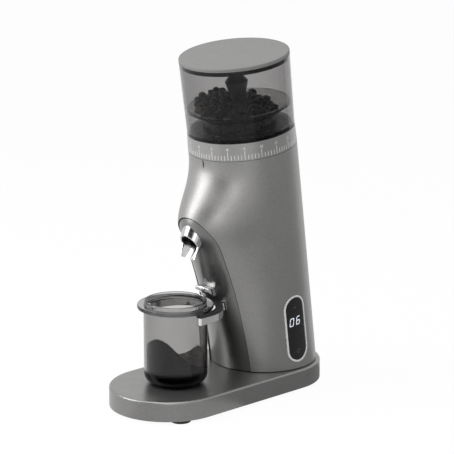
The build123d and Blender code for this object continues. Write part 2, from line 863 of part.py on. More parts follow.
# Portafilter hook: a small chrome ledge above the fork, hollowed at the front and undercut behind its lip
hook_rear_y = front_y(hook_bottom, panel_step) + hook_reach
hook_front_y = front_y(hook_top, panel_step) - hook_reach
with BuildPart() as portafilter_hook:
    with BuildSketch(Plane.XY.offset(hook_bottom)):
        with Locations((0, (hook_rear_y + hook_front_y) / 2)):
            Rectangle(hook_width, hook_rear_y - hook_front_y)
    extrude(amount=hook_height)
    hook_hollow_radius = (hook_width**2 / 4 + hook_hollow_depth**2) / (2 * hook_hollow_depth)
    with BuildSketch(Plane.XY.offset(hook_bottom)):
        with Locations((0, hook_front_y + hook_hollow_depth - hook_hollow_radius)):
            Circle(hook_hollow_radius)
    extrude(amount=hook_height, mode=Mode.SUBTRACT)
    with BuildSketch(Plane.YZ) as undercut:
        with BuildLine():
            Polyline(
                (hook_front_y, hook_bottom), (hook_front_y + hook_reach, hook_bottom),
                (hook_front_y, hook_top - hook_lip), close=True,
            )
        make_face()
    extrude(undercut.sketch, amount=hook_width, both=True, mode=Mode.SUBTRACT)
    fillet(portafilter_hook.faces().sort_by(Axis.Z)[-1].edges().sort_by(Axis.Y)[0], radius=hook_round)
    body(column_height, panel_step - seat_gap, Mode.SUBTRACT)
    with BuildSketch(Plane.XZ.offset(-column_y)):
        with Locations((0, hook_screw_z)):
            Circle(screw_radius + fit_gap)
    extrude(amount=column_y - hook_rear_y + hook_reach, mode=Mode.SUBTRACT)
save(portafilter_hook, "portafilter_hook")

# Fork screws: from inside the column through the panel into the fork's neck and the hook
with BuildPart() as fork_screws:
    screws(Plane.XZ.offset(-fork_screw_head_y), fork_screw_spots, fork_screw_head_y - fork_back_y)
    hook_screw_length = hook_screw_head_y - hook_rear_y + hook_reach
    screws(Plane.XZ.offset(-hook_screw_head_y), [(0, hook_screw_z)], hook_screw_length)
save(fork_screws, "fork_screws")

# Dosing cup: a clear beaker with a thick rounded bottom, a flange that hangs over the fork and a low collar
cup_inside_radius = cup_radius - cup_wall
cup_flange_top = cup_flange_height + cup_flange_thickness
with BuildPart() as dosing_cup:
    with BuildSketch(cup_plane):
        with BuildLine():
            inner_corner = cup_inside_radius - cup_inner_round
            outer_corner = cup_radius - cup_bottom_round
            Polyline((outer_corner, 0), (0, 0), (0, cup_floor), (inner_corner, cup_floor))
            ThreePointArc(
                (inner_corner, cup_floor),
                (inner_corner + cup_inner_round * diagonal, cup_floor + cup_inner_round * (1 - diagonal)),
                (cup_inside_radius, cup_floor + cup_inner_round),
            )
            Polyline(
                (cup_inside_radius, cup_floor + cup_inner_round), (cup_inside_radius, cup_height),
                (cup_collar_radius, cup_height), (cup_collar_radius, cup_flange_top),
                (cup_flange_radius, cup_flange_top), (cup_flange_radius, cup_flange_height),
                (cup_radius, cup_flange_height), (cup_radius, cup_bottom_round),
            )
            ThreePointArc(
                (cup_radius, cup_bottom_round),
                (outer_corner + cup_bottom_round * diagonal, cup_bottom_round * (1 - diagonal)),
                (outer_corner, 0),
            )
        make_face()
    revolve(axis=cup_axis)
    rims = dosing_cup.edges().filter_by(GeomType.CIRCLE)
    fillet(rims.filter_by(lambda rim: isclose(rim.radius, cup_flange_radius)), radius=cup_rim_round)
    fillet(dosing_cup.faces().sort_by(Axis.Z)[-1].outer_wire().edges(), radius=cup_rim_round)
save(dosing_cup, "dosing_cup")

# Display bezel: a frame that follows the column's side, with a flange behind the shell's wall
with BuildPart() as display_bezel:
    display_slot(column_radius - bezel_depth, bezel_depth, -bezel_flange)
    tube(0, ledge_height, column_radius - shell_wall - fit_gap, mode=Mode.INTERSECT)
    display_slot(column_radius - bezel_depth, 2 * bezel_depth, 0)
    tube(0, ledge_height, column_radius + bezel_proud, mode=Mode.INTERSECT)
    display_slot(column_radius - 2 * bezel_depth, 4 * bezel_depth, bezel_border, Mode.SUBTRACT)
save(display_bezel, "display_bezel")

# Display glass inside the bezel
with BuildPart() as display_glass:
    display_slot(column_radius - bezel_depth, 2 * bezel_depth, bezel_border + fit_gap)
    tube(0, ledge_height, column_radius, column_radius - glass_thickness, mode=Mode.INTERSECT)
save(display_glass, "display_glass")

# Display board behind the glass
with BuildPart() as display_board:
    display_slot(column_radius - bezel_depth, display_board_thickness, bezel_border + fit_gap)
save(display_board, "display_board")

# Grind chamber: a cup hung from the shell's ledge, with a window for the chute and a collar for the ring
with BuildPart() as grind_chamber:
    turned([
        (drive_shaft_radius + seat_gap, chamber_floor_height), (gear_housing_radius, chamber_floor_height),
        (gear_housing_radius, chamber_inside_height - chamber_floor_slope),
        (chamber_outer_radius, chamber_inside_height - chamber_wall), (chamber_outer_radius, ledge_height),
        (chamber_flange_radius, ledge_height), (chamber_flange_radius, chamber_flange_top),
        (chamber_shoulder_radius, chamber_flange_top), (chamber_shoulder_radius, ring_bottom),
        (chamber_outer_radius, ring_bottom), (chamber_outer_radius, clip_height),
        (chamber_outer_radius - clip_groove_depth, clip_height),
        (chamber_outer_radius - clip_groove_depth, clip_height + clip_thickness + fit_gap),
        (chamber_outer_radius, clip_height + clip_thickness + fit_gap),
        (chamber_outer_radius, chamber_rim_height),
        (chamber_bore_radius, chamber_rim_height), (chamber_bore_radius, chamber_inside_height),
        (drive_bearing_radius + fit_gap, chamber_inside_height),
        (drive_bearing_radius + fit_gap, bearing_bottom),
        (drive_shaft_radius + seat_gap, bearing_bottom),
    ])
    window_length = chute_length + chute_radius
    channel(chute_radius + fit_gap, chute_lip + fit_gap, spout_length, window_length, Mode.SUBTRACT)
    with BuildSketch(station(carrier_foot_height - carrier_travel)):
        with PolarLocations(chamber_bore_radius, 2):
            Rectangle(2 * key_depth + 2 * fit_gap, key_width + 2 * fit_gap)
    extrude(amount=chamber_rim_height - carrier_foot_height + carrier_travel, mode=Mode.SUBTRACT)
    rods(
        ledge_height, chamber_flange_top, screw_radius + fit_gap,
        chamber_screw_circle, chamber_screw_count, chamber_screw_turn, Mode.SUBTRACT,
    )
    rods(
        chamber_floor_height, chamber_floor_height + gear_screw_depth, screw_radius + fit_gap,
        gear_screw_circle, gear_screw_count, gear_screw_turn, Mode.SUBTRACT,
    )
save(grind_chamber, "grind_chamber")

# Chamber screws: up through the ledge into the flange
with BuildPart() as chamber_screws:
    screws(
        station(ledge_height - shell_wall),
        circle_spots(chamber_screw_circle, chamber_screw_count, chamber_screw_turn),
        shell_wall + chamber_flange_thickness - seat_gap,
    )
save(chamber_screws, "chamber_screws")

# Drive bearing in the chamber's floor, with a groove between its races
bearing_middle = (drive_shaft_radius + drive_bearing_radius) / 2
with BuildPart() as drive_bearing:
    bearing_top = bearing_bottom + drive_bearing_width
    tube(bearing_bottom, bearing_top, drive_bearing_radius, drive_shaft_radius + fit_gap)
    for groove_bottom in (bearing_bottom, bearing_top - race_groove_depth):
        tube(
            groove_bottom, groove_bottom + race_groove_depth,
            bearing_middle + race_groove_width / 2, bearing_middle - race_groove_width / 2, Mode.SUBTRACT,
        )
save(drive_bearing, "drive_bearing")

# Adjusting ring: turns on the chamber's collar and moves the burr carrier by its inside thread
with BuildPart() as adjusting_ring:
    turned([
        (chamber_outer_radius + fit_gap, ring_bottom), (column_radius, ring_bottom),
        (ring_top_radius, ring_top),
        (ring_thread_radius, ring_top), (ring_thread_radius, ring_bottom + ring_lip),
        (chamber_outer_radius + fit_gap, ring_bottom + ring_lip),
    ])
save(adjusting_ring, "adjusting_ring")

# Snap ring in the collar's groove, over the adjusting ring's shoulder
with BuildPart() as ring_clip:
    with BuildSketch(station(clip_height)):
        Circle(chamber_outer_radius + clip_reach)
        Circle(chamber_outer_radius - clip_groove_depth + fit_gap, mode=Mode.SUBTRACT)
        with Locations((0, chamber_outer_radius)):
            Rectangle(key_width, 4 * clip_reach, mode=Mode.SUBTRACT)
    extrude(amount=clip_thickness)
save(ring_clip, "ring_clip")

# Burr carrier: keyed in the chamber, threaded in the adjusting ring, with a funnel down to the burrs
with BuildPart() as burr_carrier:
    turned([
        (chamber_bore_radius - fit_gap, carrier_foot_height),
        (chamber_bore_radius - fit_gap, carrier_flange_height),
        (ring_thread_radius - thread_gap, carrier_flange_height),
        (ring_thread_radius - thread_gap, carrier_top),
        (carrier_bore_radius, carrier_top), (carrier_bore_radius, carrier_funnel_top),
        (carrier_throat_radius, carrier_funnel_bottom), (carrier_throat_radius, ring_burr_top),
        (ring_burr_radius + fit_gap, ring_burr_top), (ring_burr_radius + fit_gap, carrier_foot_height),
    ])
    with BuildSketch(station(carrier_foot_height)):
        with PolarLocations(chamber_bore_radius - key_depth / 2, 2):
            Rectangle(3 * key_depth, key_width)
    extrude(amount=clip_height - carrier_foot_height - 2 * carrier_travel)
    rods(
        ring_burr_top, carrier_screw_seat, screw_radius + fit_gap,
        burr_screw_circle, burr_screw_count, burr_screw_turn, Mode.SUBTRACT,
    )
    rods(
        carrier_screw_seat, carrier_funnel_top, screw_head_radius + seat_gap,
        burr_screw_circle, burr_screw_count, burr_screw_turn, Mode.SUBTRACT,
    )
save(burr_carrier, "burr_carrier")

# Ring burr: a toothed hourglass bore, coarse above the waist and fine below it
with BuildPart() as ring_burr:
    tube(burr_foot_height, ring_burr_top, ring_burr_radius)
    burr_loft([
        (burr_foot_height, ring_burr_foot_radius + fine_tooth_depth, fine_tooth_depth, 0),
        (burr_waist_height, ring_burr_waist_radius + fine_tooth_depth, fine_tooth_depth, -fine_tooth_twist),
    ], fine_teeth, Mode.SUBTRACT)
    burr_loft([
        (burr_waist_height, ring_burr_waist_radius + fine_tooth_depth, fine_tooth_depth, 0),
        (ring_burr_top, ring_burr_top_radius + coarse_tooth_depth, coarse_tooth_depth, -fine_tooth_twist),
    ], 2 * coarse_teeth, Mode.SUBTRACT)
    rods(
        ring_burr_top - burr_screw_depth, ring_burr_top, screw_radius + fit_gap,
        burr_screw_circle, burr_screw_count, burr_screw_turn, Mode.SUBTRACT,
    )
save(ring_burr, "ring_burr")

# Burr screws: down through the carrier's web into the ring burr
with BuildPart() as burr_screws:
    screws(
        Plane(origin=station(carrier_screw_seat).origin, x_dir=(1, 0, 0), z_dir=(0, lean_sine, -lean_cosine)),
        circle_spots(burr_screw_circle, burr_screw_count, -burr_screw_turn),
        carrier_screw_web + burr_screw_depth,
    )
save(burr_screws, "burr_screws")

# Cone burr: coarse spiral lobes that draw the beans in, over a skirt of fine teeth
with BuildPart() as cone_burr:
    burr_loft([
        (burr_foot_height, cone_burr_foot_radius, fine_tooth_depth, 0),
        (burr_waist_height, cone_burr_waist_radius, fine_tooth_depth, fine_tooth_twist),
    ], fine_teeth)
    burr_loft([
        (burr_waist_height, cone_burr_waist_radius - fine_tooth_depth, coarse_tooth_depth, 0),
        (cone_burr_top, cone_burr_top_radius, coarse_tooth_depth / 2, coarse_tooth_twist),
    ], coarse_teeth)
    tube(burr_foot_height, cone_burr_top, drive_shaft_radius + fit_gap, mode=Mode.SUBTRACT)
save(cone_burr, "cone_burr")

# Grounds sweeper: a plate under the cone burr with vanes that push the grounds to the chute
with BuildPart() as grounds_sweeper:
    tube(sweeper_bottom, sweeper_top, sweeper_radius)
    tube(sweeper_top, burr_foot_height, cone_burr_foot_radius - fine_tooth_depth)
    with BuildSketch(station(sweeper_top)):
        with PolarLocations(sweeper_vane_circle, sweeper_vanes):
            Rectangle(sweeper_vane_length, sweeper_vane_width)
    extrude(amount=sweeper_vane_height)
    tube(sweeper_bottom, burr_foot_height, drive_shaft_radius + fit_gap, mode=Mode.SUBTRACT)
save(grounds_sweeper, "grounds_sweeper")

# Drive shaft from the planet carrier up to the burr nut
with BuildPart() as drive_shaft:
    tube(planet_disc_bottom, cone_burr_top + burr_nut_height + shaft_end, drive_shaft_radius)
save(drive_shaft, "drive_shaft")

# Burr nut: a hexagon on the end of the drive shaft
with BuildPart() as burr_nut:
    with BuildSketch(station(cone_burr_top)):
        RegularPolygon(burr_nut_radius, 6)
        Circle(drive_shaft_radius + fit_gap, mode=Mode.SUBTRACT)
    extrude(amount=burr_nut_height)
save(burr_nut, "burr_nut")

# Planet carrier: a disc on the drive shaft
with BuildPart() as planet_carrier:
    tube(planet_disc_bottom, planet_disc_top, planet_disc_radius, drive_shaft_radius + fit_gap)
    rods(
        planet_disc_bottom, planet_disc_top, planet_pin_radius + fit_gap,
        planet_circle, planet_count, mode=Mode.SUBTRACT,
    )
save(planet_carrier, "planet_carrier")

# Planet pins, pressed into the carrier
with BuildPart() as planet_pins:
    rods(planet_bottom, planet_disc_top, planet_pin_radius, planet_circle, planet_count)
save(planet_pins, "planet_pins")

# Planet gears, each turned so that its teeth mesh with the sun and the ring
for number, spot in enumerate(circle_spots(planet_circle, planet_count), start=1):
    turn = 360 * (number - 1) / planet_count + 180 / planet_teeth
    with BuildPart() as planet_gear:
        gear_face(planet_bottom, planet_face, planet_teeth, turn, spot)
        with BuildSketch(station(planet_bottom)):
            with Locations(spot):
                Circle(planet_pin_radius + fit_gap)
        extrude(amount=planet_face, mode=Mode.SUBTRACT)
    save(planet_gear, f"planet_gear_{number}")

# Sun gear on the motor shaft
with BuildPart() as sun_gear:
    gear_face(planet_bottom, planet_face, sun_teeth, 0)
    tube(planet_bottom, planet_top, motor_shaft_radius + fit_gap, mode=Mode.SUBTRACT)
save(sun_gear, "sun_gear")

# Gear housing: a cup with the internal ring gear in its wall
with BuildPart() as gear_housing:
    tube(gear_bottom, gear_top, gear_housing_radius)
    ring_tip = ring_gear_pitch - gear_module * tooth_addendum
    with BuildSketch(station(gear_bottom + gear_floor)):
        half_pitch = 180 / ring_teeth
        ring_points = gear_outline(ring_teeth, ring_gear_root, ring_tip, -tooth_backlash / 2, half_pitch)
        Polygon(*ring_points, align=None)
    extrude(amount=gear_housing_length - gear_floor, mode=Mode.SUBTRACT)
    tube(gear_bottom, gear_bottom + gear_floor, bush_radius + fit_gap, mode=Mode.SUBTRACT)
    rods(
        gear_bottom, gear_top, screw_radius + fit_gap,
        gear_screw_circle, gear_screw_count, gear_screw_turn, Mode.SUBTRACT,
    )
save(gear_housing, "gear_housing")

# Gear cover between the gears and the chamber
with BuildPart() as gear_cover:
    tube(gear_top, chamber_floor_height, gear_housing_radius, drive_shaft_radius + seat_gap)
    rods(
        gear_top, chamber_floor_height, screw_radius + fit_gap,
        gear_screw_circle, gear_screw_count, gear_screw_turn, Mode.SUBTRACT,
    )
save(gear_cover, "gear_cover")

# Gearbox screws: up through the housing and its cover into the chamber's floor
with BuildPart() as gearbox_screws:
    screws(
        station(gear_bottom),
        circle_spots(gear_screw_circle, gear_screw_count, gear_screw_turn),
        gear_housing_length + gear_cover_thickness + gear_screw_depth,
    )
save(gearbox_screws, "gearbox_screws")

# Motor can: a drawn steel cup with its closed end under the gear housing
with BuildPart() as motor_can:
    turned([
        (motor_inside_radius, motor_cap_top), (motor_radius, motor_cap_top), (motor_radius, gear_bottom),
        (bush_radius + fit_gap, gear_bottom), (bush_radius + fit_gap, gear_bottom - motor_can_wall),
        (motor_inside_radius, gear_bottom - motor_can_wall),
    ])
save(motor_can, "motor_can")

# Motor end cap with a spigot in the can
with BuildPart() as motor_end_cap:
    turned([
        (bush_radius + fit_gap, motor_bottom), (motor_radius, motor_bottom), (motor_radius, motor_cap_top),
        (motor_inside_radius - fit_gap, motor_cap_top),
        (motor_inside_radius - fit_gap, motor_cap_top + motor_cap_spigot),
        (motor_inside_radius - motor_can_wall, motor_cap_top + motor_cap_spigot),
        (motor_inside_radius - motor_can_wall, motor_cap_top), (bush_radius + fit_gap, motor_cap_top),
    ])
save(motor_end_cap, "motor_end_cap")

# Magnets: two shells against the can's wall
with BuildPart() as motor_magnets:
    with BuildSketch(station(magnet_bottom)):
        Circle(motor_inside_radius - fit_gap)
        Circle(motor_inside_radius - magnet_thickness, mode=Mode.SUBTRACT)
        Rectangle(2 * motor_radius, magnet_parting, mode=Mode.SUBTRACT)
    extrude(amount=magnet_length)
save(motor_magnets, "motor_magnets")

# Armature: a slotted core with a commutator below it
with BuildPart() as motor_armature:
    with BuildSketch(station(armature_bottom)):
        Circle(armature_radius)
        with PolarLocations(armature_radius, armature_slots):
            Rectangle(2 * armature_slot_depth, armature_slot_width, mode=Mode.SUBTRACT)
    extrude(amount=armature_length)
    tube(armature_bottom - commutator_length, armature_bottom, commutator_radius)
    tube(motor_bottom, gear_bottom, motor_shaft_radius + fit_gap, mode=Mode.SUBTRACT)
save(motor_armature, "motor_armature")

# Motor shaft, from under the end cap up to the top of the sun gear
with BuildPart() as motor_shaft:
    tube(motor_bottom - motor_shaft_end, planet_top, motor_shaft_radius)
save(motor_shaft, "motor_shaft")

# Motor bushes: one in the end cap, one across the can and the gear housing's floor
with BuildPart() as motor_bushes:
    tube(motor_bottom, motor_bottom + bush_length, bush_radius, motor_shaft_radius + fit_gap)
    tube(gear_bottom - motor_can_wall, gear_bottom + gear_floor, bush_radius, motor_shaft_radius + fit_gap)
save(motor_bushes, "motor_bushes")

# Hopper collar: a spigot that drops into the burr carrier, with a flange that rests on it
spigot_radius = carrier_bore_radius - seat_gap
with BuildPart() as hopper_collar:
    turned([
        (spigot_radius - spigot_wall, carrier_top - spigot_depth),
        (spigot_radius, carrier_top - spigot_depth),
        (spigot_radius, carrier_top), (spigot_flange_radius, carrier_top),
        (spigot_flange_radius, hopper_bottom),
        (spigot_radius - spigot_wall, hopper_bottom),
    ])
save(hopper_collar, "hopper_collar")

# Hopper shell: a clear wall that widens a little upwards, with a floor round the funnel
with BuildPart() as hopper_shell:
    turned([
        (funnel_radius + fit_gap, hopper_bottom), (hopper_lower_radius, hopper_bottom),
        (hopper_upper_radius, hopper_top), (hopper_upper_radius - hopper_wall, hopper_top),
        (hopper_lower_radius - hopper_wall, hopper_bottom + hopper_floor),
        (funnel_radius + fit_gap, hopper_bottom + hopper_floor),
    ])
save(hopper_shell, "hopper_shell")

# Hopper funnel: a clear neck under a conical shelf that meets the wall
funnel_cone_bottom = hopper_bottom + funnel_neck_height
funnel_cone_top = funnel_cone_bottom + funnel_cone_height
funnel_rim_radius = hopper_lower_radius - hopper_wall - seat_gap
with BuildPart() as hopper_funnel:
    turned([
        (funnel_radius - funnel_wall, hopper_bottom), (funnel_radius, hopper_bottom),
        (funnel_radius, funnel_cone_bottom), (funnel_rim_radius, funnel_cone_top),
        (funnel_rim_radius, funnel_cone_top + funnel_lip_height),
        (funnel_rim_radius - funnel_wall, funnel_cone_top + funnel_lip_height),
        (funnel_rim_radius - funnel_wall, funnel_cone_top + funnel_wall / 2),
        (funnel_radius - funnel_wall, funnel_cone_bottom + funnel_wall / 2),
    ])
save(hopper_funnel, "hopper_funnel")

# Lid: a flat disc with a rounded upper edge
with BuildPart() as hopper_lid:
    tube(lid_bottom, lid_top, hopper_upper_radius)
    fillet(hopper_lid.edges().filter_by(GeomType.CIRCLE).sort_by(Axis.Z)[-1], radius=lid_edge_round)
save(hopper_lid, "hopper_lid")

# Lid seal: a soft ring inside the hopper's wall
seal_radius = hopper_upper_radius - hopper_wall - seam_gap
with BuildPart() as lid_seal:
    tube(lid_bottom - seal_depth, lid_bottom, seal_radius, seal_radius - seal_width)
save(lid_seal, "lid_seal")

# Lid stem: a boss, a neck and a tapered plug that parts the beans
stem_neck_bottom = lid_bottom - stem_boss_depth - stem_neck_length
stem_plug_top = stem_neck_bottom - stem_plug_rise
with BuildPart() as lid_stem:
    turned([
        (0, lid_bottom), (stem_boss_radius, lid_bottom), (stem_boss_radius, lid_bottom - stem_boss_depth),
        (stem_radius, lid_bottom - stem_boss_depth), (stem_radius, stem_neck_bottom),
        (stem_plug_radius, stem_plug_top), (stem_plug_tip_radius, stem_plug_top - stem_plug_length),
        (0, stem_plug_top - stem_plug_length),
    ])
save(lid_stem, "lid_stem")
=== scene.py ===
"""Looks of a leaning burr coffee grinder: finishes for its solid parts, printed marks, beans and grounds."""

import json
from math import radians

import bpy
import numpy as np
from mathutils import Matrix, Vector


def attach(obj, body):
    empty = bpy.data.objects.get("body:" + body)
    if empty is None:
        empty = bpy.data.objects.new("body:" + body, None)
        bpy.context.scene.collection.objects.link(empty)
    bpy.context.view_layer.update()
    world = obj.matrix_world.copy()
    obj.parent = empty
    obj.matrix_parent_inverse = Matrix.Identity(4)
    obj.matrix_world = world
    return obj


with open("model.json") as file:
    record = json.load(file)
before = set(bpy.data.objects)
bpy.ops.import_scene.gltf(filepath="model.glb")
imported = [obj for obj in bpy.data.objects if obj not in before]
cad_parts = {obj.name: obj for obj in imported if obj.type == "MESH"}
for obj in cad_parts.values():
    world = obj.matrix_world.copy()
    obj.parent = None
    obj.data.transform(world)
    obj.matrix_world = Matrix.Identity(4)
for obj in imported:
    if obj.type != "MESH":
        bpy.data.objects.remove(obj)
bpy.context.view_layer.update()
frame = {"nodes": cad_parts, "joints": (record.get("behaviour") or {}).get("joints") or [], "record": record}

# Metres throughout. Heights on the column run along its leaning axis, from the top of the base plate.
# Angles on the column run from its right-hand side towards its rear, so the front is at minus a quarter turn.
mm = 0.001
tiny = 0.001 * mm
right_side = 0.0
front = -np.pi / 2
ring_joint = next(joint for joint in frame["joints"] if joint["name"] == "ring_turn")
column_foot = np.array(ring_joint["pos_m"])
column_axis = np.array(ring_joint["axis"])
across = np.array((1.0, 0.0, 0.0))
rearward = np.cross(column_axis, across)
column_radius = 53.8 * mm

# Printed marks are thin slabs, sunk a little into what carries them
print_thickness = 0.06 * mm
print_sink = 0.02 * mm

# Adjusting ring and its scale, with the setting that faces the front
ring_bottom = 227.2 * mm
ring_height = 17.3 * mm
ring_top_radius = 53.1 * mm
scale_setting = 6.27
scale_step = radians(18)
scale_last = 19
scale_parts = 5
tick_foot = 1.2 * mm
long_tick = 8.2 * mm
short_tick = 4.5 * mm
tick_width = 0.5 * mm
number_size = 3.9 * mm
number_foot = 10.6 * mm

# Mark under the ring, on the front line of the shell's nose
index_top = 226.0 * mm
index_length = 10.5 * mm
index_width = 1.3 * mm
index_steps = 24
nose_root = 221 * mm
nose_top = 161 * mm
nose_reach = 30 * mm
nose_upper_power = 1.7

# Painted shadow lines along the arched panel's edge and round the column's foot, where the gaps hold shade
arch_foot_half_width = 30.6 * mm
arch_half_width = 25.8 * mm
arch_spring = 160.05 * mm
seam_gap = 0.4 * mm
seam_shadow_width = 1.1 * mm
seam_shadow_full_share = 0.6
painted_seam_shadow = 0.01
foot_shadow_line = column_foot[2] + 0.7 * mm
foot_shadow_fade = 0.3 * mm

# Display: two lit figures, with an arrow above them and a switch sign below
shown_figures = "06"
digit_places = (-8.3 * mm, 0.2 * mm)
digit_foot = 47.2 * mm
digit_height = 7.7 * mm
digit_width = 4.3 * mm
digit_stroke = 0.85 * mm
digit_gap = 0.08 * digit_stroke
digit_slant = 0.2
icon_stroke = 0.5 * mm
arrow_height = 65.4 * mm
arrow_half_width = 1.7 * mm
arrow_top = 0.9 * mm
arrow_bottom = -0.8 * mm
switch_height = 19.2 * mm
switch_radius = 2.0 * mm
switch_ends = (radians(125), radians(415))
switch_bar = (0.4 * mm, 2.6 * mm)
switch_steps = 28

# Hopper's funnel, the lid's stem in it, and the beans round the stem
neck_radius = 35.2 * mm
neck_bottom = 247.0 * mm
cone_bottom = 258.5 * mm
cone_top = 267.5 * mm
rim_radius = 49.0 * mm
stem_tip = 266.4 * mm
stem_tip_radius = 4.5 * mm
stem_top_radius = 11.5 * mm
stem_length = 26 * mm
bean_half = np.array((5.0, 4.0, 3.6)) * mm
bean_columns = 10
bean_rows = 5
bean_flat_share = 0.8
bean_groove_depth = 0.2
bean_groove_width = 0.3
bean_least_size = 0.9
bean_clearance = 0.5 * mm
bean_dip = 1 * mm
heap_edge = 3.5 * mm
heap_crown = 6.5 * mm
heap_tilt = (-0.13, -0.10)

# Lattice of the beans: its pitch, and the steps, shifts and jitter as shares of that. A bean that lies past
# the wall by less than the last length is pulled in.
bean_pitch = 7.2 * mm
bean_row_step = 0.87
bean_row_shift = 0.5
bean_layer_step = 0.72
bean_layer_shift = (0.33, 0.29)
bean_jitter = 0.32
lattice_layers = 9
lattice_rows_each_way = 9
bean_pull_in = 0.5 * bean_pitch

# Cup with its dark foot, and the pile of grounds in it. A hump of the pile's edge has a height, and then its
# middle and its width in degrees, counted as on the column.
cup_centre = np.array((0.0, -54.48)) * mm
cup_inside_radius = 28.9 * mm
cup_floor = 30.1 * mm
cup_inner_round = 5 * mm
cup_smoke_full = 35.5 * mm
cup_smoke_faded = 39.5 * mm
pile_clearance = 0.25 * mm
pile_edge = 41 * mm
pile_humps = ((32.5 * mm, -76, 54), (14 * mm, 80, 30), (8 * mm, 200, 45))
pile_edge_spread = 1 * mm
pile_columns = 160
pile_floor_rings = 4
pile_round_rings = 6
pile_wall_rings = 9
pile_top_rings = 45
pile_floor_shares = (0.02, 0.98)
pile_last_share = 0.015
pile_middle = 44 * mm
pile_fall = 1.25
# How fast the pile's top turns rippled and paler from the wall in; the paleness is painted light
pile_ripple_and_light_ramp = 9
ripple_count = 60
ripple_lengths = (1.2 * mm, 9 * mm)
ripple_share = 0.12

# Cells of the finishes, waves of their unevenness to the metre, and what all paints or clear plastics share
flake_size = 0.45 * mm
bean_tone_size = 7 * mm
grain_size = 0.75 * mm
lacquer_haze = 55
lacquer_peel = 420
tint_drift = 22
tone_drift = 70
plastic_wear = 160
board_tracks = 160
board_haze = 300
light_drift = 500
paint_warmth = 0.012
lacquer_unevenness = 0.025
lacquer_roughness = 0.12
clear_deep = 0.87
clear_pale = 0.90
clear_warmth = 0.01
smoke_colour = (0.05, 0.05, 0.06, 1)

# Studio: the surround, the floor, and the arcs of the cards, each with a distance and a height
floor_half = 4.0
floor_white_share = 0.96
surround_light = 0.45
sheet_start = (0.01, 0.5 * mm)
sheet_end = (4.0, 0.5 * mm)
room_low = (2.4, 0.5)
room_high = (2.4, 1.9)
card_steps = 24
lamp_aim = Vector((0, 0, 0.17))

# Camera, where the photograph was taken from: the picture's side and the focal length in pixels, the sensor
# in millimetres, and the bearing and the rise in degrees
picture_size = 454
focal_length = 2541.13
sensor_width = 36
camera_place = Vector((1759.01, -1653.26, 806.85)) * mm
camera_bearing = 46.52
camera_rise = 14.78


# Places on the column


def on_column(angle, height, radius):
    """Points on the column: the foot, plus the height along the axis, plus the radius turned by the angle."""
    angle, height, radius = np.broadcast_arrays(angle, height, radius)
    sideways = np.cos(angle)[..., None] * across + np.sin(angle)[..., None] * rearward
    return column_foot + height[..., None] * column_axis + radius[..., None] * sideways


def ring_radius(height):
    """Radius of the adjusting ring: a straight taper from the column's radius to the ring's upper one."""
    return column_radius + (ring_top_radius - column_radius) * (height - ring_bottom) / ring_height


def shell_front_radius(height):
    """Radius of the shell's front line: the column's, plus the nose's reach times a power of a cosine."""
    share = np.clip((height - nose_top) / (nose_root - nose_top), 0, 1)
    return column_radius + nose_reach * np.cos(share * np.pi / 2) ** nose_upper_power


def glass_radius(height):
    """Radius of the display's glass: the column's own at every height."""
    return np.full_like(height, column_radius)


# Shapes, each a pair of points and faces; a face is an array of its corners' numbers


def grid_quads(rows, columns, around=False):
    """Faces between the neighbours of a grid, the last column joined to the first if it goes around."""
    index = np.arange(rows * columns).reshape(rows, columns)
    right = np.roll(index, -1, axis=1)
    quads = np.stack((index[:-1], right[:-1], right[1:], index[1:]), axis=-1)
    if not around:
        quads = quads[:, :-1]
    return quads.reshape(-1, 4)


def join_shapes(shapes):
    """Several shapes as one: their points in a row, and their faces counted on from the points before."""
    starts = np.cumsum([0] + [len(points) for points, _ in shapes])
    points = np.concatenate([points for points, _ in shapes])
    faces = []
    for (_, shape_faces), start in zip(shapes, starts):
        faces += [face + start for face in shape_faces]
    return points, faces


def put_piece(name, points, faces, finish, body, slot, smooth=True):
    """A mesh object of these points and faces, with its place in its mesh, that moves with a body."""
    mesh = bpy.data.meshes.new(name)
    mesh.from_pydata(points.reshape(-1, 3).tolist(), [], [face.tolist() for face in faces])
    mesh.polygons.foreach_set("use_smooth", np.full(len(mesh.polygons), smooth))
    mesh.materials.append(finish)
    mesh.update()
    piece = bpy.data.objects.new(name, mesh)
    bpy.context.scene.collection.objects.link(piece)
    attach(piece, body)
    return piece


def flat_slab(outline):
    """A thin slab from an anticlockwise outline: the outline below and above, and quads between."""
    outline = np.asarray(outline, float)
    count = len(outline)
    low = np.column_stack((outline, np.full(count, -print_sink)))
    high = np.column_stack((outline, np.full(count, print_thickness)))
    here = np.arange(count)
    following = np.roll(here, -1)
    sides = np.stack((here, following, following + count, here + count), axis=-1)
    return np.concatenate((low, high)), [here[::-1], here + count, *sides]


def bar(start, end, width):
    """A slab along a straight stroke: the two ends, moved half the width to either side."""
    start, end = np.asarray(start, float), np.asarray(end, float)
    along = (end - start) / np.linalg.norm(end - start)
    beside = np.array((-along[1], along[0])) * width / 2
    return flat_slab((start - beside, end - beside, end + beside, start + beside))


def pointed_bar(start, end, width):
    """A display segment: a stroke whose two ends come to a point at 45 degrees."""
    start, end = np.asarray(start, float), np.asarray(end, float)
    along = (end - start) / np.linalg.norm(end - start) * width / 2
    beside = np.array((-along[1], along[0]))
    lower = (start, start + along - beside, end - along - beside)
    upper = (end, end - along + beside, start + along + beside)
    return flat_slab(lower + upper)


def arc_bar(radius, width, first, last, steps):
    """A slab along an arc: an outer arc forwards and an inner arc back."""
    turn = np.linspace(first, last, steps)
    way = np.column_stack((np.cos(turn), np.sin(turn)))
    return flat_slab(np.concatenate((way * (radius + width / 2), way[::-1] * (radius - width / 2))))


def moved(shape, sideways, up):
    """The same shape, moved on its flat sheet."""
    points, faces = shape
    return points + np.array((sideways, up, 0.0)), faces


def wrapped(shape, radius_at, base_angle):
    """A flat shape laid on the column: across becomes an angle, up a height, and thickness more radius."""
    points, faces = shape
    radius = radius_at(points[:, 1])
    return on_column(base_angle + points[:, 0] / radius, points[:, 1], radius + points[:, 2]), faces


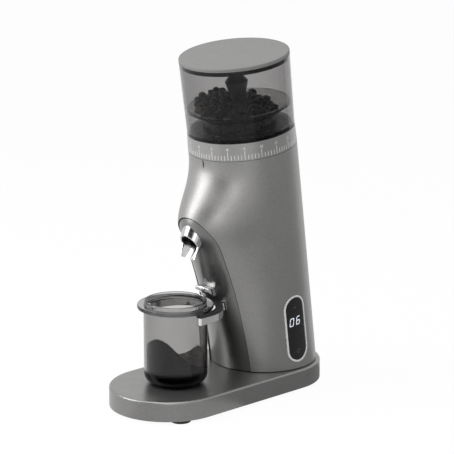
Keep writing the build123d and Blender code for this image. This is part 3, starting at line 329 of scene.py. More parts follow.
def letters(text, size):
    """A flat shape of figures, centred across, with its foot on the line and the print's thickness."""
    curve = bpy.data.curves.new("figures", "FONT")
    curve.body = text
    curve.size = size
    curve.align_x = "CENTER"
    curve.extrude = (print_thickness + print_sink) / 2
    curve.resolution_u = 3
    holder = bpy.data.objects.new("figures", curve)
    mesh = bpy.data.meshes.new_from_object(holder)
    points = np.empty(len(mesh.vertices) * 3)
    mesh.vertices.foreach_get("co", points)
    points = points.reshape(-1, 3) + np.array((0.0, 0.0, (print_thickness - print_sink) / 2))
    faces = [np.array(polygon.vertices) for polygon in mesh.polygons]
    bpy.data.objects.remove(holder)
    bpy.data.curves.remove(curve)
    bpy.data.meshes.remove(mesh)
    return points, faces


# Printed marks on the ring, the shell and the display


def ring_scale():
    """Ticks and numbers around the ring: a number at every step, with equal parts between it and the next."""
    shapes = []
    for part in range((scale_last - 1) * scale_parts + 1):
        angle = front + (1 + part / scale_parts - scale_setting) * scale_step
        numbered = part % scale_parts == 0
        top = tick_foot + (long_tick if numbered else short_tick)
        tick = bar((0, ring_bottom + tick_foot), (0, ring_bottom + top), tick_width)
        shapes.append(wrapped(tick, ring_radius, angle))
        if numbered:
            number = letters(str(1 + part // scale_parts), number_size)
            number = moved(number, 0, ring_bottom + number_foot)
            shapes.append(wrapped(number, ring_radius, angle))
    return join_shapes(shapes)


def index_line():
    """The mark under the ring: a narrow strip down the shell's front line, in short steps."""
    steps = np.linspace(index_top - index_length, index_top, index_steps)
    right = np.column_stack((np.full(index_steps, index_width / 2), steps))
    left = right[::-1] * (-1, 1)
    outline = np.concatenate((right, left))
    return wrapped(flat_slab(outline), shell_front_radius, front)


def display_digit(figure):
    """A seven-segment figure: bars between the six corners of two stacked boxes, leaned by the slant."""
    half = digit_width / 2
    corners = {
        "top left": (-half, digit_height),
        "top right": (half, digit_height),
        "middle left": (-half, digit_height / 2),
        "middle right": (half, digit_height / 2),
        "bottom left": (-half, 0),
        "bottom right": (half, 0),
    }
    bars = {
        "top": ("top left", "top right"),
        "upper left": ("middle left", "top left"),
        "upper right": ("middle right", "top right"),
        "middle": ("middle left", "middle right"),
        "lower left": ("bottom left", "middle left"),
        "lower right": ("bottom right", "middle right"),
        "bottom": ("bottom left", "bottom right"),
    }
    unlit = {"0": "middle", "6": "upper right"}
    shapes = []
    for name, (first, last) in bars.items():
        if name != unlit[figure]:
            start, end = np.array(corners[first]), np.array(corners[last])
            gap = (end - start) / np.linalg.norm(end - start) * digit_gap
            shapes.append(pointed_bar(start + gap, end - gap, digit_stroke))
    points, faces = join_shapes(shapes)
    points[:, 0] += points[:, 1] * digit_slant
    return points, faces


def display_digits():
    """The lit figures side by side, laid on the glass."""
    shapes = []
    for figure, place in zip(shown_figures, digit_places):
        shapes.append(moved(display_digit(figure), place + digit_width / 2, digit_foot))
    return wrapped(join_shapes(shapes), glass_radius, right_side)


def display_icons():
    """The two signs on the glass: an arrow head of two bars, and an open ring with a bar in its gap."""
    tip = (0, arrow_top)
    left_stroke = bar((-arrow_half_width, arrow_bottom), tip, icon_stroke)
    right_stroke = bar(tip, (arrow_half_width, arrow_bottom), icon_stroke)
    arrow = moved(join_shapes([left_stroke, right_stroke]), 0, arrow_height)
    open_ring = arc_bar(switch_radius, icon_stroke, *switch_ends, switch_steps)
    upright = bar((0, switch_bar[0]), (0, switch_bar[1]), icon_stroke)
    switch = moved(join_shapes([open_ring, upright]), 0, switch_height)
    return wrapped(join_shapes([arrow, switch]), glass_radius, right_side)


# Beans in the hopper


def bean_shape():
    """A bean: an ellipsoid over longitude and latitude, with one flatter side and a groove along it."""
    rows, columns = bean_rows, bean_columns
    turns = np.linspace(0, 2 * np.pi, columns, endpoint=False)
    tilts = np.linspace(-1, 1, rows + 2)[1:-1] * np.pi / 2
    turn, tilt = np.meshgrid(turns, tilts)
    body = np.stack((np.sin(tilt), np.cos(tilt) * np.cos(turn), np.cos(tilt) * np.sin(turn)), axis=-1)
    body[..., 2] = np.where(body[..., 2] < 0, body[..., 2] * bean_flat_share, body[..., 2])
    groove = np.exp(-((body[..., 1] / bean_groove_width) ** 2)) * (body[..., 2] < 0)
    body[..., 2] += bean_groove_depth * groove
    points = np.concatenate((body.reshape(-1, 3), ((-1.0, 0, 0), (1.0, 0, 0)))) * bean_half
    here = np.arange(columns)
    following = np.roll(here, -1)
    last_row = (rows - 1) * columns
    first_tip = np.full(columns, rows * columns)
    first_cap = np.column_stack((first_tip, following, here))
    last_cap = np.column_stack((first_tip + 1, here + last_row, following + last_row))
    return points, [*grid_quads(rows, columns, around=True), *first_cap, *last_cap]


def turned_frames(count, chance):
    """Rotation matrices from random unit quaternions, one for each bean."""
    q = chance.normal(size=(count, 4))
    q /= np.linalg.norm(q, axis=1, keepdims=True)
    w, x, y, z = q.T
    rows = (
        (1 - 2 * (y * y + z * z), 2 * (x * y - z * w), 2 * (x * z + y * w)),
        (2 * (x * y + z * w), 1 - 2 * (x * x + z * z), 2 * (y * z - x * w)),
        (2 * (x * z - y * w), 2 * (y * z + x * w), 1 - 2 * (x * x + y * y)),
    )
    return np.moveaxis(np.array(rows), -1, 0)


def reach(frames, direction):
    """How far each turned bean reaches along a direction: its half sizes times the direction's own parts."""
    parts = np.einsum("nij,ni->nj", frames, direction) * bean_half
    return np.linalg.norm(parts, axis=1)


def bean_lattice(chance):
    """Places on a close-packed lattice, each moved a little at random: across, rearward and up."""
    span = np.arange(-lattice_rows_each_way, lattice_rows_each_way + 1)
    layer, row, column = np.meshgrid(np.arange(lattice_layers), span, span, indexing="ij")
    x = (column + bean_row_shift * (row % 2) + bean_layer_shift[0] * (layer % 3)).ravel() * bean_pitch
    y = (row * bean_row_step + bean_layer_shift[1] * (layer % 3)).ravel() * bean_pitch
    height = neck_bottom + bean_half[2] + (layer * bean_layer_step).ravel() * bean_pitch
    jitter = chance.uniform(-bean_jitter, bean_jitter, size=(3, x.size)) * bean_pitch
    return x + jitter[0], y + jitter[1], height + jitter[2]


def funnel_room(frames, outward, upward, height):
    """How far out a bean's middle may lie: the funnel's wall there, less a gap and the bean's own reach.

    In the neck the reach is taken straight out. Over the cone it is taken square to the wall, and divided by
    the level part of that direction.
    """
    level, upright = cone_top - cone_bottom, neck_radius - rim_radius
    length = np.hypot(level, upright)
    in_neck = height < cone_bottom
    wall_way = np.where(in_neck[:, None], outward, level / length * outward + upright / length * upward)
    wall_reach = reach(frames, wall_way) / np.where(in_neck, 1, level / length)
    up_cone = np.clip((height - cone_bottom) / (cone_top - cone_bottom), 0, 1)
    wall = neck_radius + up_cone * (rim_radius - neck_radius)
    return wall - bean_clearance - wall_reach


def bean_heap():
    """Beans on a jittered lattice, kept in the funnel, below a tilted dome and off the lid's stem.

    The dome is a cosine of the distance from the axis, and the stem's radius grows with height from its tip.
    """
    chance = np.random.default_rng(7)
    x, y, height = bean_lattice(chance)
    frames = turned_frames(x.size, chance)
    sizes = chance.uniform(bean_least_size, 1.0, size=x.size)
    radius = np.hypot(x, y)
    outward = np.column_stack((x, y, np.zeros_like(x))) / np.maximum(radius, tiny)[:, None]
    upward = np.tile((0.0, 0.0, 1.0), (x.size, 1))
    room = funnel_room(frames, outward, upward, height)
    radius = np.where((radius > room) & (radius < room + bean_pull_in), room, radius)
    x, y = radius * outward[:, 0], radius * outward[:, 1]

    dome = cone_top + heap_edge + heap_crown * np.cos(np.clip(radius / rim_radius, 0, 1) * np.pi / 2)
    dome += heap_tilt[0] * x + heap_tilt[1] * y
    stem_slope = (stem_top_radius - stem_tip_radius) / stem_length
    stem = stem_tip_radius + np.clip(height + bean_half[0] - stem_tip, 0, None) * stem_slope
    in_funnel = radius <= room + tiny
    off_stem = (height + bean_half[0] < stem_tip) | (radius > stem + bean_half[0] + bean_clearance)
    above_floor = height - reach(frames, upward) > neck_bottom - bean_dip
    keep = in_funnel & (height + bean_half[2] < dome) & off_stem & above_floor

    points, faces = bean_shape()
    turned = np.einsum("nij,vj->nvi", frames[keep], points) * sizes[keep][:, None, None]
    local = turned + np.column_stack((x, y, height))[keep][:, None, :]
    angle = np.arctan2(local[..., 1], local[..., 0])
    distance = np.hypot(local[..., 0], local[..., 1])
    placed = on_column(angle, local[..., 2], distance)
    return join_shapes([(bean, faces) for bean in placed])


# Grounds in the cup


def ripple(x, y, chance, count, shortest, longest):
    """Fine unevenness: a sum of sine waves of random way, length and start, each as high as it is long.

    The sum is divided by the root of the number of waves.
    """
    length = np.exp(chance.uniform(np.log(shortest), np.log(longest), count))
    way = chance.uniform(0, 2 * np.pi, count)
    start = chance.uniform(0, 2 * np.pi, count)
    phase = (x[..., None] * np.cos(way) + y[..., None] * np.sin(way)) * 2 * np.pi / length + start
    return (np.sin(phase) * length).sum(axis=-1) / np.sqrt(count)


def hump(turns, middle, width):
    """A rise round the cup's wall: a bell curve of the angle from its middle."""
    away = (turns - radians(middle) + np.pi) % (2 * np.pi) - np.pi
    return np.exp(-((away / radians(width)) ** 2))


def grounds_pile():
    """The pile in the cup: rings out over the floor and up the wall, then in over an uneven sloping surface.

    The wall's rings climb to a humped, uneven edge. The surface goes from that edge to the middle by a power
    of its share of the radius. The third result is a share on each point, from nought at the wall to one,
    that
    ripples the top and makes it paler: painted light, for the light that falls in through the cup's opening.
    """
    chance = np.random.default_rng(11)
    turns = np.linspace(0, 2 * np.pi, pile_columns, endpoint=False)
    radius = cup_inside_radius - pile_clearance
    floor = cup_floor + pile_clearance
    edge = np.full(pile_columns, pile_edge)
    for height, middle, width in pile_humps:
        edge += height * hump(turns, middle, width)
    edge += chance.uniform(-0.5, 0.5, pile_columns) * pile_edge_spread

    bend = np.linspace(0, np.pi / 2, pile_round_rings)
    round_reach = radius - cup_inner_round * (1 - np.sin(bend))
    round_height = floor + cup_inner_round * (1 - np.cos(bend))
    floor_reach = np.linspace(*pile_floor_shares, pile_floor_rings) * round_reach[0]
    wall_share = np.linspace(0, 1, pile_wall_rings + 1)[1:]
    top_share = np.linspace(1, pile_last_share, pile_top_rings + 1)[1:]
    wall_reach = np.full(pile_wall_rings, radius)
    reaches = np.concatenate((floor_reach, round_reach, wall_reach, radius * top_share))
    level_rings = np.concatenate((np.full(pile_floor_rings, floor), round_height))
    level_heights = np.repeat(level_rings[:, None], pile_columns, axis=1)
    wall_heights = round_height[-1] + wall_share[:, None] * (edge - round_height[-1])
    top_heights = pile_middle + (edge - pile_middle) * top_share[:, None] ** pile_fall
    heights = np.concatenate((level_heights, wall_heights, top_heights))

    x = cup_centre[0] + reaches[:, None] * np.cos(turns)
    y = cup_centre[1] + reaches[:, None] * np.sin(turns)
    loose_and_lit = np.zeros(len(reaches))
    loose_and_lit[-pile_top_rings:] = np.clip((1 - top_share) * pile_ripple_and_light_ramp, 0, 1)
    heights += loose_and_lit[:, None] * ripple_share * ripple(x, y, chance, ripple_count, *ripple_lengths)
    points = np.stack((x, y, heights), axis=-1)
    here = np.arange(pile_columns)
    last_ring = (len(reaches) - 1) * pile_columns
    faces = [*grid_quads(len(reaches), pile_columns, around=True), here[::-1], here + last_ring]
    return points, faces, np.repeat(loose_and_lit, pile_columns)


# What finishes are made of


def new_finish(name):
    """An empty finish: the material, its node tree and its shader."""
    finish = bpy.data.materials.new(name)
    finish.use_nodes = True
    return finish, finish.node_tree, finish.node_tree.nodes["Principled BSDF"]


def pattern(tree, kind, scale, stretch=(1, 1, 1), **settings):
    """A texture node on the piece's own coordinates, at so many cells or waves to the metre."""
    place = tree.nodes.new("ShaderNodeTexCoord")
    mapping = tree.nodes.new("ShaderNodeMapping")
    mapping.inputs["Scale"].default_value = stretch
    texture = tree.nodes.new(kind)
    texture.inputs["Scale"].default_value = scale
    for setting, value in settings.items():
        texture.inputs[setting].default_value = value
    tree.links.new(place.outputs["Object"], mapping.inputs["Vector"])
    tree.links.new(mapping.outputs["Vector"], texture.inputs["Vector"])
    return texture


def noise(tree, waves, detail, stretch=(1, 1, 1)):
    """The value of a soft noise, about a half on the whole."""
    return pattern(tree, "ShaderNodeTexNoise", waves, stretch, Detail=detail).outputs["Fac"]


def levels(tree, source, low, high, start=0.3, end=0.7):
    """A number between low and high, by where the source lies between start and end."""
    ranged = tree.nodes.new("ShaderNodeMapRange")
    for name, value in zip(("From Min", "From Max", "To Min", "To Max"), (start, end, low, high)):
        ranged.inputs[name].default_value = value
    tree.links.new(source, ranged.inputs["Value"])
    return ranged.outputs["Result"]


def arithmetic(tree, operation, first, second=0.0):
    """A sum, product or the like of two values, each a number or another node's output."""
    node = tree.nodes.new("ShaderNodeMath")
    node.operation = operation
    for socket, value in zip(node.inputs, (first, second)):
        if isinstance(value, (int, float)):
            socket.default_value = value
        else:
            tree.links.new(value, socket)
    return node.outputs["Value"]


def own_place(tree):
    """The piece's own coordinates, as three values."""
    place = tree.nodes.new("ShaderNodeTexCoord")
    split = tree.nodes.new("ShaderNodeSeparateXYZ")
    tree.links.new(place.outputs["Object"], split.inputs["Vector"])
    return split.outputs["X"], split.outputs["Y"], split.outputs["Z"]


def grey(level, warmth=0.0):
    """A grey with a slight warm or cool cast."""
    return (level * (1 + warmth), level, level * (1 - warmth))


def colour_by(tree, shader, source, dark, light, start=0.3, end=0.7):
    """Base colour from dark to light along a ramp, by where the source lies between start and end."""
    ramp = tree.nodes.new("ShaderNodeValToRGB")
    for stop, place, colour in zip(ramp.color_ramp.elements, (start, end), (dark, light)):
        stop.position = place
        stop.color = (*colour, 1)
    tree.links.new(source, ramp.inputs["Fac"])
    tree.links.new(ramp.outputs["Color"], shader.inputs["Base Color"])


def colour_by_cells(tree, shader, size, dark, light):
    """Base colour from dark to light at random, the same over each cell of this size; gives the cells."""
    cells = pattern(tree, "ShaderNodeTexVoronoi", 1 / size)
    split = tree.nodes.new("ShaderNodeSeparateColor")
    tree.links.new(cells.outputs["Color"], split.inputs["Color"])
    colour_by(tree, shader, split.outputs["Red"], dark, light, 0.0, 1.0)
    return cells


def polish_by(tree, shader, source, smooth, rough):
    """Roughness between two values, by the source."""
    tree.links.new(levels(tree, source, smooth, rough), shader.inputs["Roughness"])


def relief_by(tree, shader, source, depth, strength=1.0):
    """A bump of this depth, by the source."""
    bump = tree.nodes.new("ShaderNodeBump")
    bump.inputs["Distance"].default_value = depth
    bump.inputs["Strength"].default_value = strength
    tree.links.new(source, bump.inputs["Height"])
    tree.links.new(bump.outputs["Normal"], shader.inputs["Normal"])


def set_all_over(finish, part, value):
    """One part of a finish, the same all over."""
    finish.node_tree.nodes["Principled BSDF"].inputs[part].default_value = value


def recolour(finish, share, colour, part="Base Color"):
    """Turn the colour of one part of a finish, its base or its mirror tone, into another by a share."""
    tree = finish.node_tree
    target = tree.nodes["Principled BSDF"].inputs[part]
    mix = tree.nodes.new("ShaderNodeMix")
    mix.data_type = "RGBA"
    blend, own, other = mix.inputs[0], mix.inputs[6], mix.inputs[7]
    if target.is_linked:
        tree.links.new(target.links[0].from_socket, own)
    else:
        own.default_value = target.default_value
    tree.links.new(share, blend)
    other.default_value = (*colour, 1)
    tree.links.new(mix.outputs[2], target)


def arch_shadow_line(finish, colour):
    """A painted shadow line along the panel's edge, by how far a point lies inside the arch.

    That is the arch's half width, which grows below the spring, less the point's distance from the middle
    line or, above the spring, from the centre of the half circle.
    """
    tree = finish.node_tree
    x, _, z = own_place(tree)
    above = arithmetic(tree, "MAXIMUM", arithmetic(tree, "SUBTRACT", z, arch_spring), 0.0)
    x_square = arithmetic(tree, "MULTIPLY", x, x)
    above_square = arithmetic(tree, "MULTIPLY", above, above)
    reached = arithmetic(tree, "SQRT", arithmetic(tree, "ADD", x_square, above_square))
    below = arithmetic(tree, "MAXIMUM", arithmetic(tree, "SUBTRACT", arch_spring, z), 0.0)
    widened = arithmetic(tree, "MULTIPLY", below, (arch_foot_half_width - arch_half_width) / arch_spring)
    inside = arithmetic(tree, "SUBTRACT", arithmetic(tree, "ADD", widened, arch_half_width), reached)
    full = seam_gap + seam_shadow_full_share * seam_shadow_width
    recolour(finish, levels(tree, inside, 1.0, 0.0, full, seam_gap + seam_shadow_width), colour)


def lower_part(finish, full, faded, colour, part="Base Color"):
    """Another colour below a height, full up to one level and faded out at the next."""
    tree = finish.node_tree
    recolour(finish, levels(tree, own_place(tree)[2], 1.0, 0.0, full, faded), colour, part)


def painted_light_where(finish, attribute, gain):
    """Painted light: the same colour, so many times as light where a point attribute is one."""
    tree = finish.node_tree
    paint = tree.nodes["Principled BSDF"].inputs["Base Color"]
    mark = tree.nodes.new("ShaderNodeAttribute")
    mark.attribute_name = attribute
    scaled = tree.nodes.new("ShaderNodeVectorMath")
    scaled.operation = "SCALE"
    tree.links.new(paint.links[0].from_socket, scaled.inputs[0])
    tree.links.new(levels(tree, mark.outputs["Fac"], 1.0, gain, 0.0, 1.0), scaled.inputs["Scale"])
    tree.links.new(scaled.outputs["Vector"], paint)


# Finishes


def flake_paint(name, dark, light, rough, metallic, coat):
    """Flake paint: random tones in small cells as its flakes, under a lacquer that is a little uneven."""
    finish, tree, shader = new_finish(name)
    colour_by_cells(tree, shader, flake_size, grey(dark, paint_warmth), grey(light, paint_warmth))
    haze = noise(tree, lacquer_haze, 4)
    polish_by(tree, shader, haze, rough - lacquer_unevenness, rough + lacquer_unevenness)
    relief_by(tree, shader, noise(tree, lacquer_peel, 2), depth=0.02 * mm, strength=0.35)
    set_all_over(finish, "Metallic", metallic)
    set_all_over(finish, "Coat Weight", coat)
    set_all_over(finish, "Coat Roughness", lacquer_roughness)
    return finish


def bright_metal(name, dark, light, smooth, rough, waves=240, stretch=(1, 1, 1)):
    """Plated or machined metal: a faint change of tone and of polish, drawn out where the tool went."""
    finish, tree, shader = new_finish(name)
    polish = noise(tree, waves, 5, stretch)
    colour_by(tree, shader, polish, dark, light)
    polish_by(tree, shader, polish, smooth, rough)
    relief_by(tree, shader, polish, depth=0.006 * mm, strength=0.3)
    set_all_over(finish, "Metallic", 1.0)
    return finish


def clear_plastic(name, smooth, rough, smoke, bend):
    """Smoked clear plastic: a tint that drifts a little, faint wear in its polish, and smoke by thickness."""
    finish, tree, shader = new_finish(name)
    deep, pale = grey(clear_deep, clear_warmth), grey(clear_pale, clear_warmth)
    colour_by(tree, shader, noise(tree, tint_drift, 2), deep, pale, 0.35, 0.65)
    polish_by(tree, shader, noise(tree, plastic_wear, 6), smooth, rough)
    set_all_over(finish, "Transmission Weight", 1.0)
    set_all_over(finish, "IOR", bend)
    inside = tree.nodes.new("ShaderNodeVolumeAbsorption")
    inside.inputs["Color"].default_value = smoke_colour
    inside.inputs["Density"].default_value = smoke
    tree.links.new(inside.outputs["Volume"], tree.nodes["Material Output"].inputs["Volume"])
    return finish


def moulded(name, dark, light, smooth, rough, grain=0.5 * mm, depth=0.03 * mm, specular=0.5):
    """Moulded plastic, rubber or cast metal skin: a fine pebble in its relief, and a drift in its tone."""
    finish, tree, shader = new_finish(name)
    pebble = noise(tree, 1 / grain, 3)
    colour_by(tree, shader, noise(tree, tone_drift, 3), dark, light)
    polish_by(tree, shader, pebble, smooth, rough)
    relief_by(tree, shader, pebble, depth, strength=0.5)
    set_all_over(finish, "Specular IOR Level", specular)
    return finish


def board_finish(name):
    """A circuit board: green lacquer in two tones, with paler tracks as the joints of a brick pattern."""
    finish, tree, shader = new_finish(name)
    tracks = pattern(tree, "ShaderNodeTexBrick", board_tracks)
    tracks.inputs["Color1"].default_value = (0.010, 0.075, 0.035, 1)
    tracks.inputs["Color2"].default_value = (0.012, 0.095, 0.042, 1)
    tracks.inputs["Mortar"].default_value = (0.05, 0.16, 0.07, 1)
    tracks.inputs["Mortar Size"].default_value = 0.03
    tree.links.new(tracks.outputs["Color"], shader.inputs["Base Color"])
    polish_by(tree, shader, noise(tree, board_haze, 3), 0.28, 0.4)
    return finish


def coffee_finish(name, dark, light, cell, depth, rough, specular):
    """Coffee: random tones in cells of the bean's or the grain's size, with a relief of the same cells."""
    finish, tree, shader = new_finish(name)
    cells = colour_by_cells(tree, shader, cell, dark, light)
    relief_by(tree, shader, cells.outputs["Distance"], depth)
    set_all_over(finish, "Roughness", rough)
    set_all_over(finish, "Specular IOR Level", specular)
    return finish


def lit_finish(name, colour, strength):
    """Lit figures: their own colour, a little uneven, and the same colour as light."""
    finish, tree, shader = new_finish(name)
    deep = tuple(0.85 * part for part in colour)
    colour_by(tree, shader, noise(tree, light_drift, 2), deep, colour)
    set_all_over(finish, "Emission Color", (*colour, 1))
    set_all_over(finish, "Emission Strength", strength)
    return finish


finishes = {
    "body_paint": flake_paint("body_paint", 0.25, 0.33, rough=0.42, metallic=0.85, coat=0.08),
    "panel_paint": flake_paint("panel_paint", 0.18, 0.23, rough=0.3, metallic=0.9, coat=0.08),
    "base_paint": flake_paint("base_paint", 0.20, 0.27, rough=0.34, metallic=0.85, coat=0.06),
    "ring_paint": flake_paint("ring_paint", 0.28, 0.36, rough=0.36, metallic=0.85, coat=0.08),
    "lid_paint": flake_paint("lid_paint", 0.175, 0.215, rough=0.55, metallic=0.0, coat=0.0),
    "smoked_clear": clear_plastic("smoked_clear", 0.02, 0.05, smoke=240, bend=1.28),
    "cup_clear": clear_plastic("cup_clear", 0.008, 0.02, smoke=190, bend=1.42),
    "collar_plastic": moulded("collar_plastic", grey(0.012), grey(0.02), 0.3, 0.42),
    "stem_plastic": moulded("stem_plastic", grey(0.016), grey(0.026), 0.28, 0.4),
    "soft_rubber": moulded("soft_rubber", grey(0.010), grey(0.018), 0.55, 0.75, 0.35 * mm, specular=0.35),
    "bright_chrome": bright_metal("bright_chrome", grey(0.80), grey(0.88), 0.03, 0.09),
    "dark_glass": moulded("dark_glass", grey(0.005), grey(0.008), 0.04, 0.09, depth=0.002 * mm),
    "cover_plastic": moulded("cover_plastic", grey(0.02), grey(0.032), 0.42, 0.58),
    "fastener_steel": bright_metal("fastener_steel", grey(0.42), grey(0.55), 0.22, 0.36, 600),
    "board_green": board_finish("board_green"),
    "cast_alloy": moulded("cast_alloy", grey(0.34), grey(0.44), 0.45, 0.6, 0.9 * mm, 0.08 * mm),
    "burr_steel": bright_metal("burr_steel", grey(0.38), grey(0.5), 0.2, 0.34, 380, (1, 1, 6)),
    "shaft_steel": bright_metal("shaft_steel", grey(0.5), grey(0.6), 0.14, 0.26, 380, (1, 1, 8)),
    "gear_polymer": moulded("gear_polymer", (0.62, 0.6, 0.54), (0.7, 0.68, 0.62), 0.35, 0.5),
    "motor_steel": bright_metal("motor_steel", grey(0.3), grey(0.4), 0.32, 0.46, 300, (1, 1, 5)),
    "magnet_dark": moulded("magnet_dark", grey(0.035), grey(0.055), 0.5, 0.7, 0.8 * mm),
    "bush_bronze": bright_metal("bush_bronze", (0.42, 0.26, 0.12), (0.55, 0.36, 0.18), 0.3, 0.45, 500),
}
set_all_over(finishes["lid_paint"], "Specular IOR Level", 0.3)
set_all_over(finishes["cast_alloy"], "Metallic", 0.85)
# Painted shadow: dark lines at the panel's edge and round the column's foot, for the shade in the gaps
arch_shadow_line(finishes["panel_paint"], grey(painted_seam_shadow))
for paint in ("panel_paint", "body_paint"):
    lower_part(finishes[paint], foot_shadow_line, foot_shadow_line + foot_shadow_fade, grey(painted_seam_shadow))
lower_part(finishes["cup_clear"], cup_smoke_full, cup_smoke_faded, grey(0.02))
lower_part(finishes["cup_clear"], cup_smoke_full, cup_smoke_faded, grey(0.05), "Specular Tint")

bezel_satin = moulded("bezel", grey(0.82), grey(0.88), 0.24, 0.32, grain=2 * mm, depth=0.002 * mm)
set_all_over(bezel_satin, "Metallic", 0.35)
# Painted shade: a darker copy of the chrome for the spout, for the dark surroundings its hood mirrors
shaded_spout_chrome = bright_metal("shaded_spout_chrome", grey(0.5), grey(0.58), 0.14, 0.22)

print_white = moulded("print_white", grey(0.74), grey(0.82), 0.5, 0.6)
print_black = moulded("print_black", grey(0.006), grey(0.012), 0.5, 0.65)
digit_light = lit_finish("digit_light", (0.86, 0.92, 1.0), 0.42)
icon_light = lit_finish("icon_light", (0.07, 0.08, 0.09), 0.03)

dark_roast = (0.0045, 0.003, 0.0022)
pale_roast = (0.022, 0.013, 0.0085)
roast = coffee_finish("roast", dark_roast, pale_roast, bean_tone_size, 0.04 * mm, 0.4, 0.3)
dark_grain = (0.0040, 0.0034, 0.0031)
pale_grain = (0.017, 0.0145, 0.0132)
ground_coffee = coffee_finish("ground_coffee", dark_grain, pale_grain, grain_size, 0.6 * mm, 0.85, 0.1)
# Painted light: the pile's top six times as pale as its sides, for the light that falls in through the cup
painted_light_where(ground_coffee, "loose_and_lit", 6.0)


# Finishes on the solid parts, then the pieces that the scene adds


def dress(node, finish):
    """Give a solid part its finish."""
    shown = frame["nodes"][node].data
    shown.materials.clear()
    shown.materials.append(finish)


for subpart in frame["record"]["subparts"]:
    dress(subpart["node"], finishes[subpart["material_slot"]])
dress("display_bezel", bezel_satin)
# The spout takes the darker copy of the chrome, its painted shade
dress("spout", shaded_spout_chrome)

put_piece("ring_scale", *ring_scale(), print_white, "ring", "ring_paint", smooth=False)
put_piece("index_line", *index_line(), print_black, "stand", "body_paint", smooth=False)
put_piece("display_digits", *display_digits(), digit_light, "stand", "dark_glass", smooth=False)
put_piece("display_icons", *display_icons(), icon_light, "stand", "dark_glass", smooth=False)
put_piece("bean_heap", *bean_heap(), roast, "hopper", "smoked_clear")
# The pile, with a share on each point that ripples its top and makes it paler as painted light
pile_points, pile_faces, pile_loose_and_lit = grounds_pile()
pile = put_piece("grounds_pile", pile_points, pile_faces, ground_coffee, "cup", "cup_clear")
pile.data.attributes.new("loose_and_lit", "FLOAT", "POINT").data.foreach_set("value", pile_loose_and_lit)


# Studio


def way_out(bearing, rise):
    """The direction out from the grinder at a bearing, from the front round to the right, and a rise."""
    turn, lift = radians(bearing), radians(rise)
    return Vector((np.sin(turn) * np.cos(lift), -np.cos(turn) * np.cos(lift), np.sin(lift)))


def softbox(name, bearing, rise, distance, width, height, power):
    """A soft rectangular lamp at a bearing and a rise, turned to face the grinder."""
    lamp = bpy.data.lights.new(name, "AREA")
    lamp.shape = "RECTANGLE"
    lamp.size = width
    lamp.size_y = height
    lamp.energy = power
    way = way_out(bearing, rise)
    holder = bpy.data.objects.new(name, lamp)
    holder.location = lamp_aim + way * distance
    holder.rotation_euler = way.to_track_quat("Z", "Y").to_euler()
    bpy.context.scene.collection.objects.link(holder)


def seen_directly(tree):
    """One for rays from the camera, off metal or through glass, and nought for the rest."""
    rays = tree.nodes.new("ShaderNodeLightPath").outputs
    seen_or_mirrored = arithmetic(tree, "MAXIMUM", rays["Is Camera Ray"], rays["Is Glossy Ray"])
    return arithmetic(tree, "MAXIMUM", seen_or_mirrored, rays["Is Transmission Ray"])


def white_where_seen(tree, plain, white, share, surface):
    """A plain shader on a surface, mixed with a white one by a share where it is seen directly."""
    mix = tree.nodes.new("ShaderNodeMixShader")
    tree.links.new(arithmetic(tree, "MULTIPLY", seen_directly(tree), share), mix.inputs["Fac"])
    tree.links.new(plain, mix.inputs[1])
    tree.links.new(white, mix.inputs[2])
    tree.links.new(mix.outputs["Shader"], surface)


def white_surround():
    """The world: white where it is seen, and a soft fill where it only lights."""
    world = bpy.data.worlds.new("white_surround")
    world.use_nodes = True
    tree = world.node_tree
    fill = tree.nodes["Background"]
    white = tree.nodes.new("ShaderNodeBackground")
    for shader, strength in ((fill, surround_light), (white, 1.0)):
        shader.inputs["Color"].default_value = (1, 1, 1, 1)
        shader.inputs["Strength"].default_value = strength
    surface = tree.nodes["World Output"].inputs["Surface"]
    white_where_seen(tree, fill.outputs["Background"], white.outputs["Background"], 1.0, surface)
    bpy.context.scene.world = world


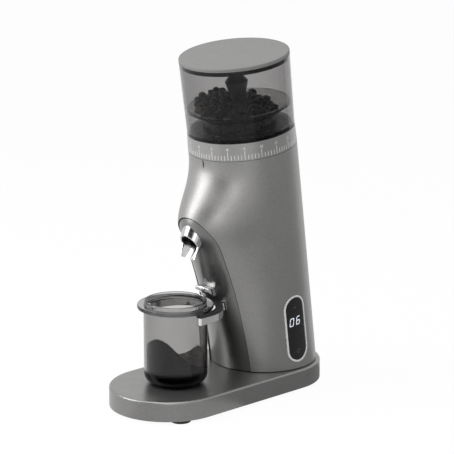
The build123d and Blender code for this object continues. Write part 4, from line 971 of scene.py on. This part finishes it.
def white_floor():
    """The floor: a pale square sheet that takes the shadow, mixed with plain white where it is seen."""
    mesh = bpy.data.meshes.new("floor")
    corners = np.array(((-1, -1, 0), (1, -1, 0), (1, 1, 0), (-1, 1, 0))) * floor_half
    mesh.from_pydata(corners.tolist(), [], [(0, 1, 2, 3)])
    finish, tree, matt = new_finish("floor_white")
    set_all_over(finish, "Base Color", (0.9, 0.9, 0.9, 1))
    set_all_over(finish, "Roughness", 0.9)
    set_all_over(finish, "Specular IOR Level", 0.1)
    white = tree.nodes.new("ShaderNodeEmission")
    white.inputs["Color"].default_value = (1, 1, 1, 1)
    surface = tree.nodes["Material Output"].inputs["Surface"]
    white_where_seen(tree, matt.outputs["BSDF"], white.outputs["Emission"], floor_white_share, surface)
    mesh.materials.append(finish)
    floor = bpy.data.objects.new("floor", mesh)
    bpy.context.scene.collection.objects.link(floor)


def mirrored_card(name, first, last, start, end, level):
    """A plain grey card that shows only in reflections: a strip between two arcs round the grinder.

    The arcs run from the first bearing to the last, and each has a distance and a height.
    """
    turns = np.radians(np.linspace(first, last, card_steps))
    way = np.column_stack((np.sin(turns), -np.cos(turns), np.zeros(card_steps)))
    points = np.concatenate([way * distance + (0, 0, height) for distance, height in (start, end)])
    mesh = bpy.data.meshes.new(name)
    mesh.from_pydata(points.tolist(), [], grid_quads(2, card_steps).tolist())
    finish, tree, _ = new_finish(name)
    glow = tree.nodes.new("ShaderNodeEmission")
    glow.inputs["Color"].default_value = (level, level, level, 1)
    tree.links.new(glow.outputs["Emission"], tree.nodes["Material Output"].inputs["Surface"])
    mesh.materials.append(finish)
    card = bpy.data.objects.new(name, mesh)
    card.visible_camera = False
    card.visible_diffuse = False
    card.visible_transmission = False
    card.visible_shadow = False
    bpy.context.scene.collection.objects.link(card)


softbox("left_softbox", -38, 30, distance=1.3, width=0.6, height=1.1, power=10.5)
softbox("front_softbox", 49, 8, distance=3.0, width=0.9, height=0.7, power=7)
softbox("top_softbox", 30, 78, distance=1.2, width=0.9, height=0.9, power=8)
white_surround()
white_floor()
mirrored_card("front_sheet", 0, 80, sheet_start, sheet_end, 0.78)
mirrored_card("right_sheet", 80, 170, sheet_start, sheet_end, 0.34)
mirrored_card("dark_room", -14, 32, room_low, room_high, 0.04)

camera = bpy.data.cameras.new("camera")
camera.sensor_width = sensor_width
camera.lens = focal_length / picture_size * sensor_width
stand_point = bpy.data.objects.new("camera", camera)
stand_point.location = camera_place
stand_point.rotation_euler = way_out(camera_bearing, camera_rise).to_track_quat("Z", "Y").to_euler()
bpy.context.scene.collection.objects.link(stand_point)
bpy.context.scene.camera = stand_point
bpy.context.scene.view_settings.view_transform = "Standard"
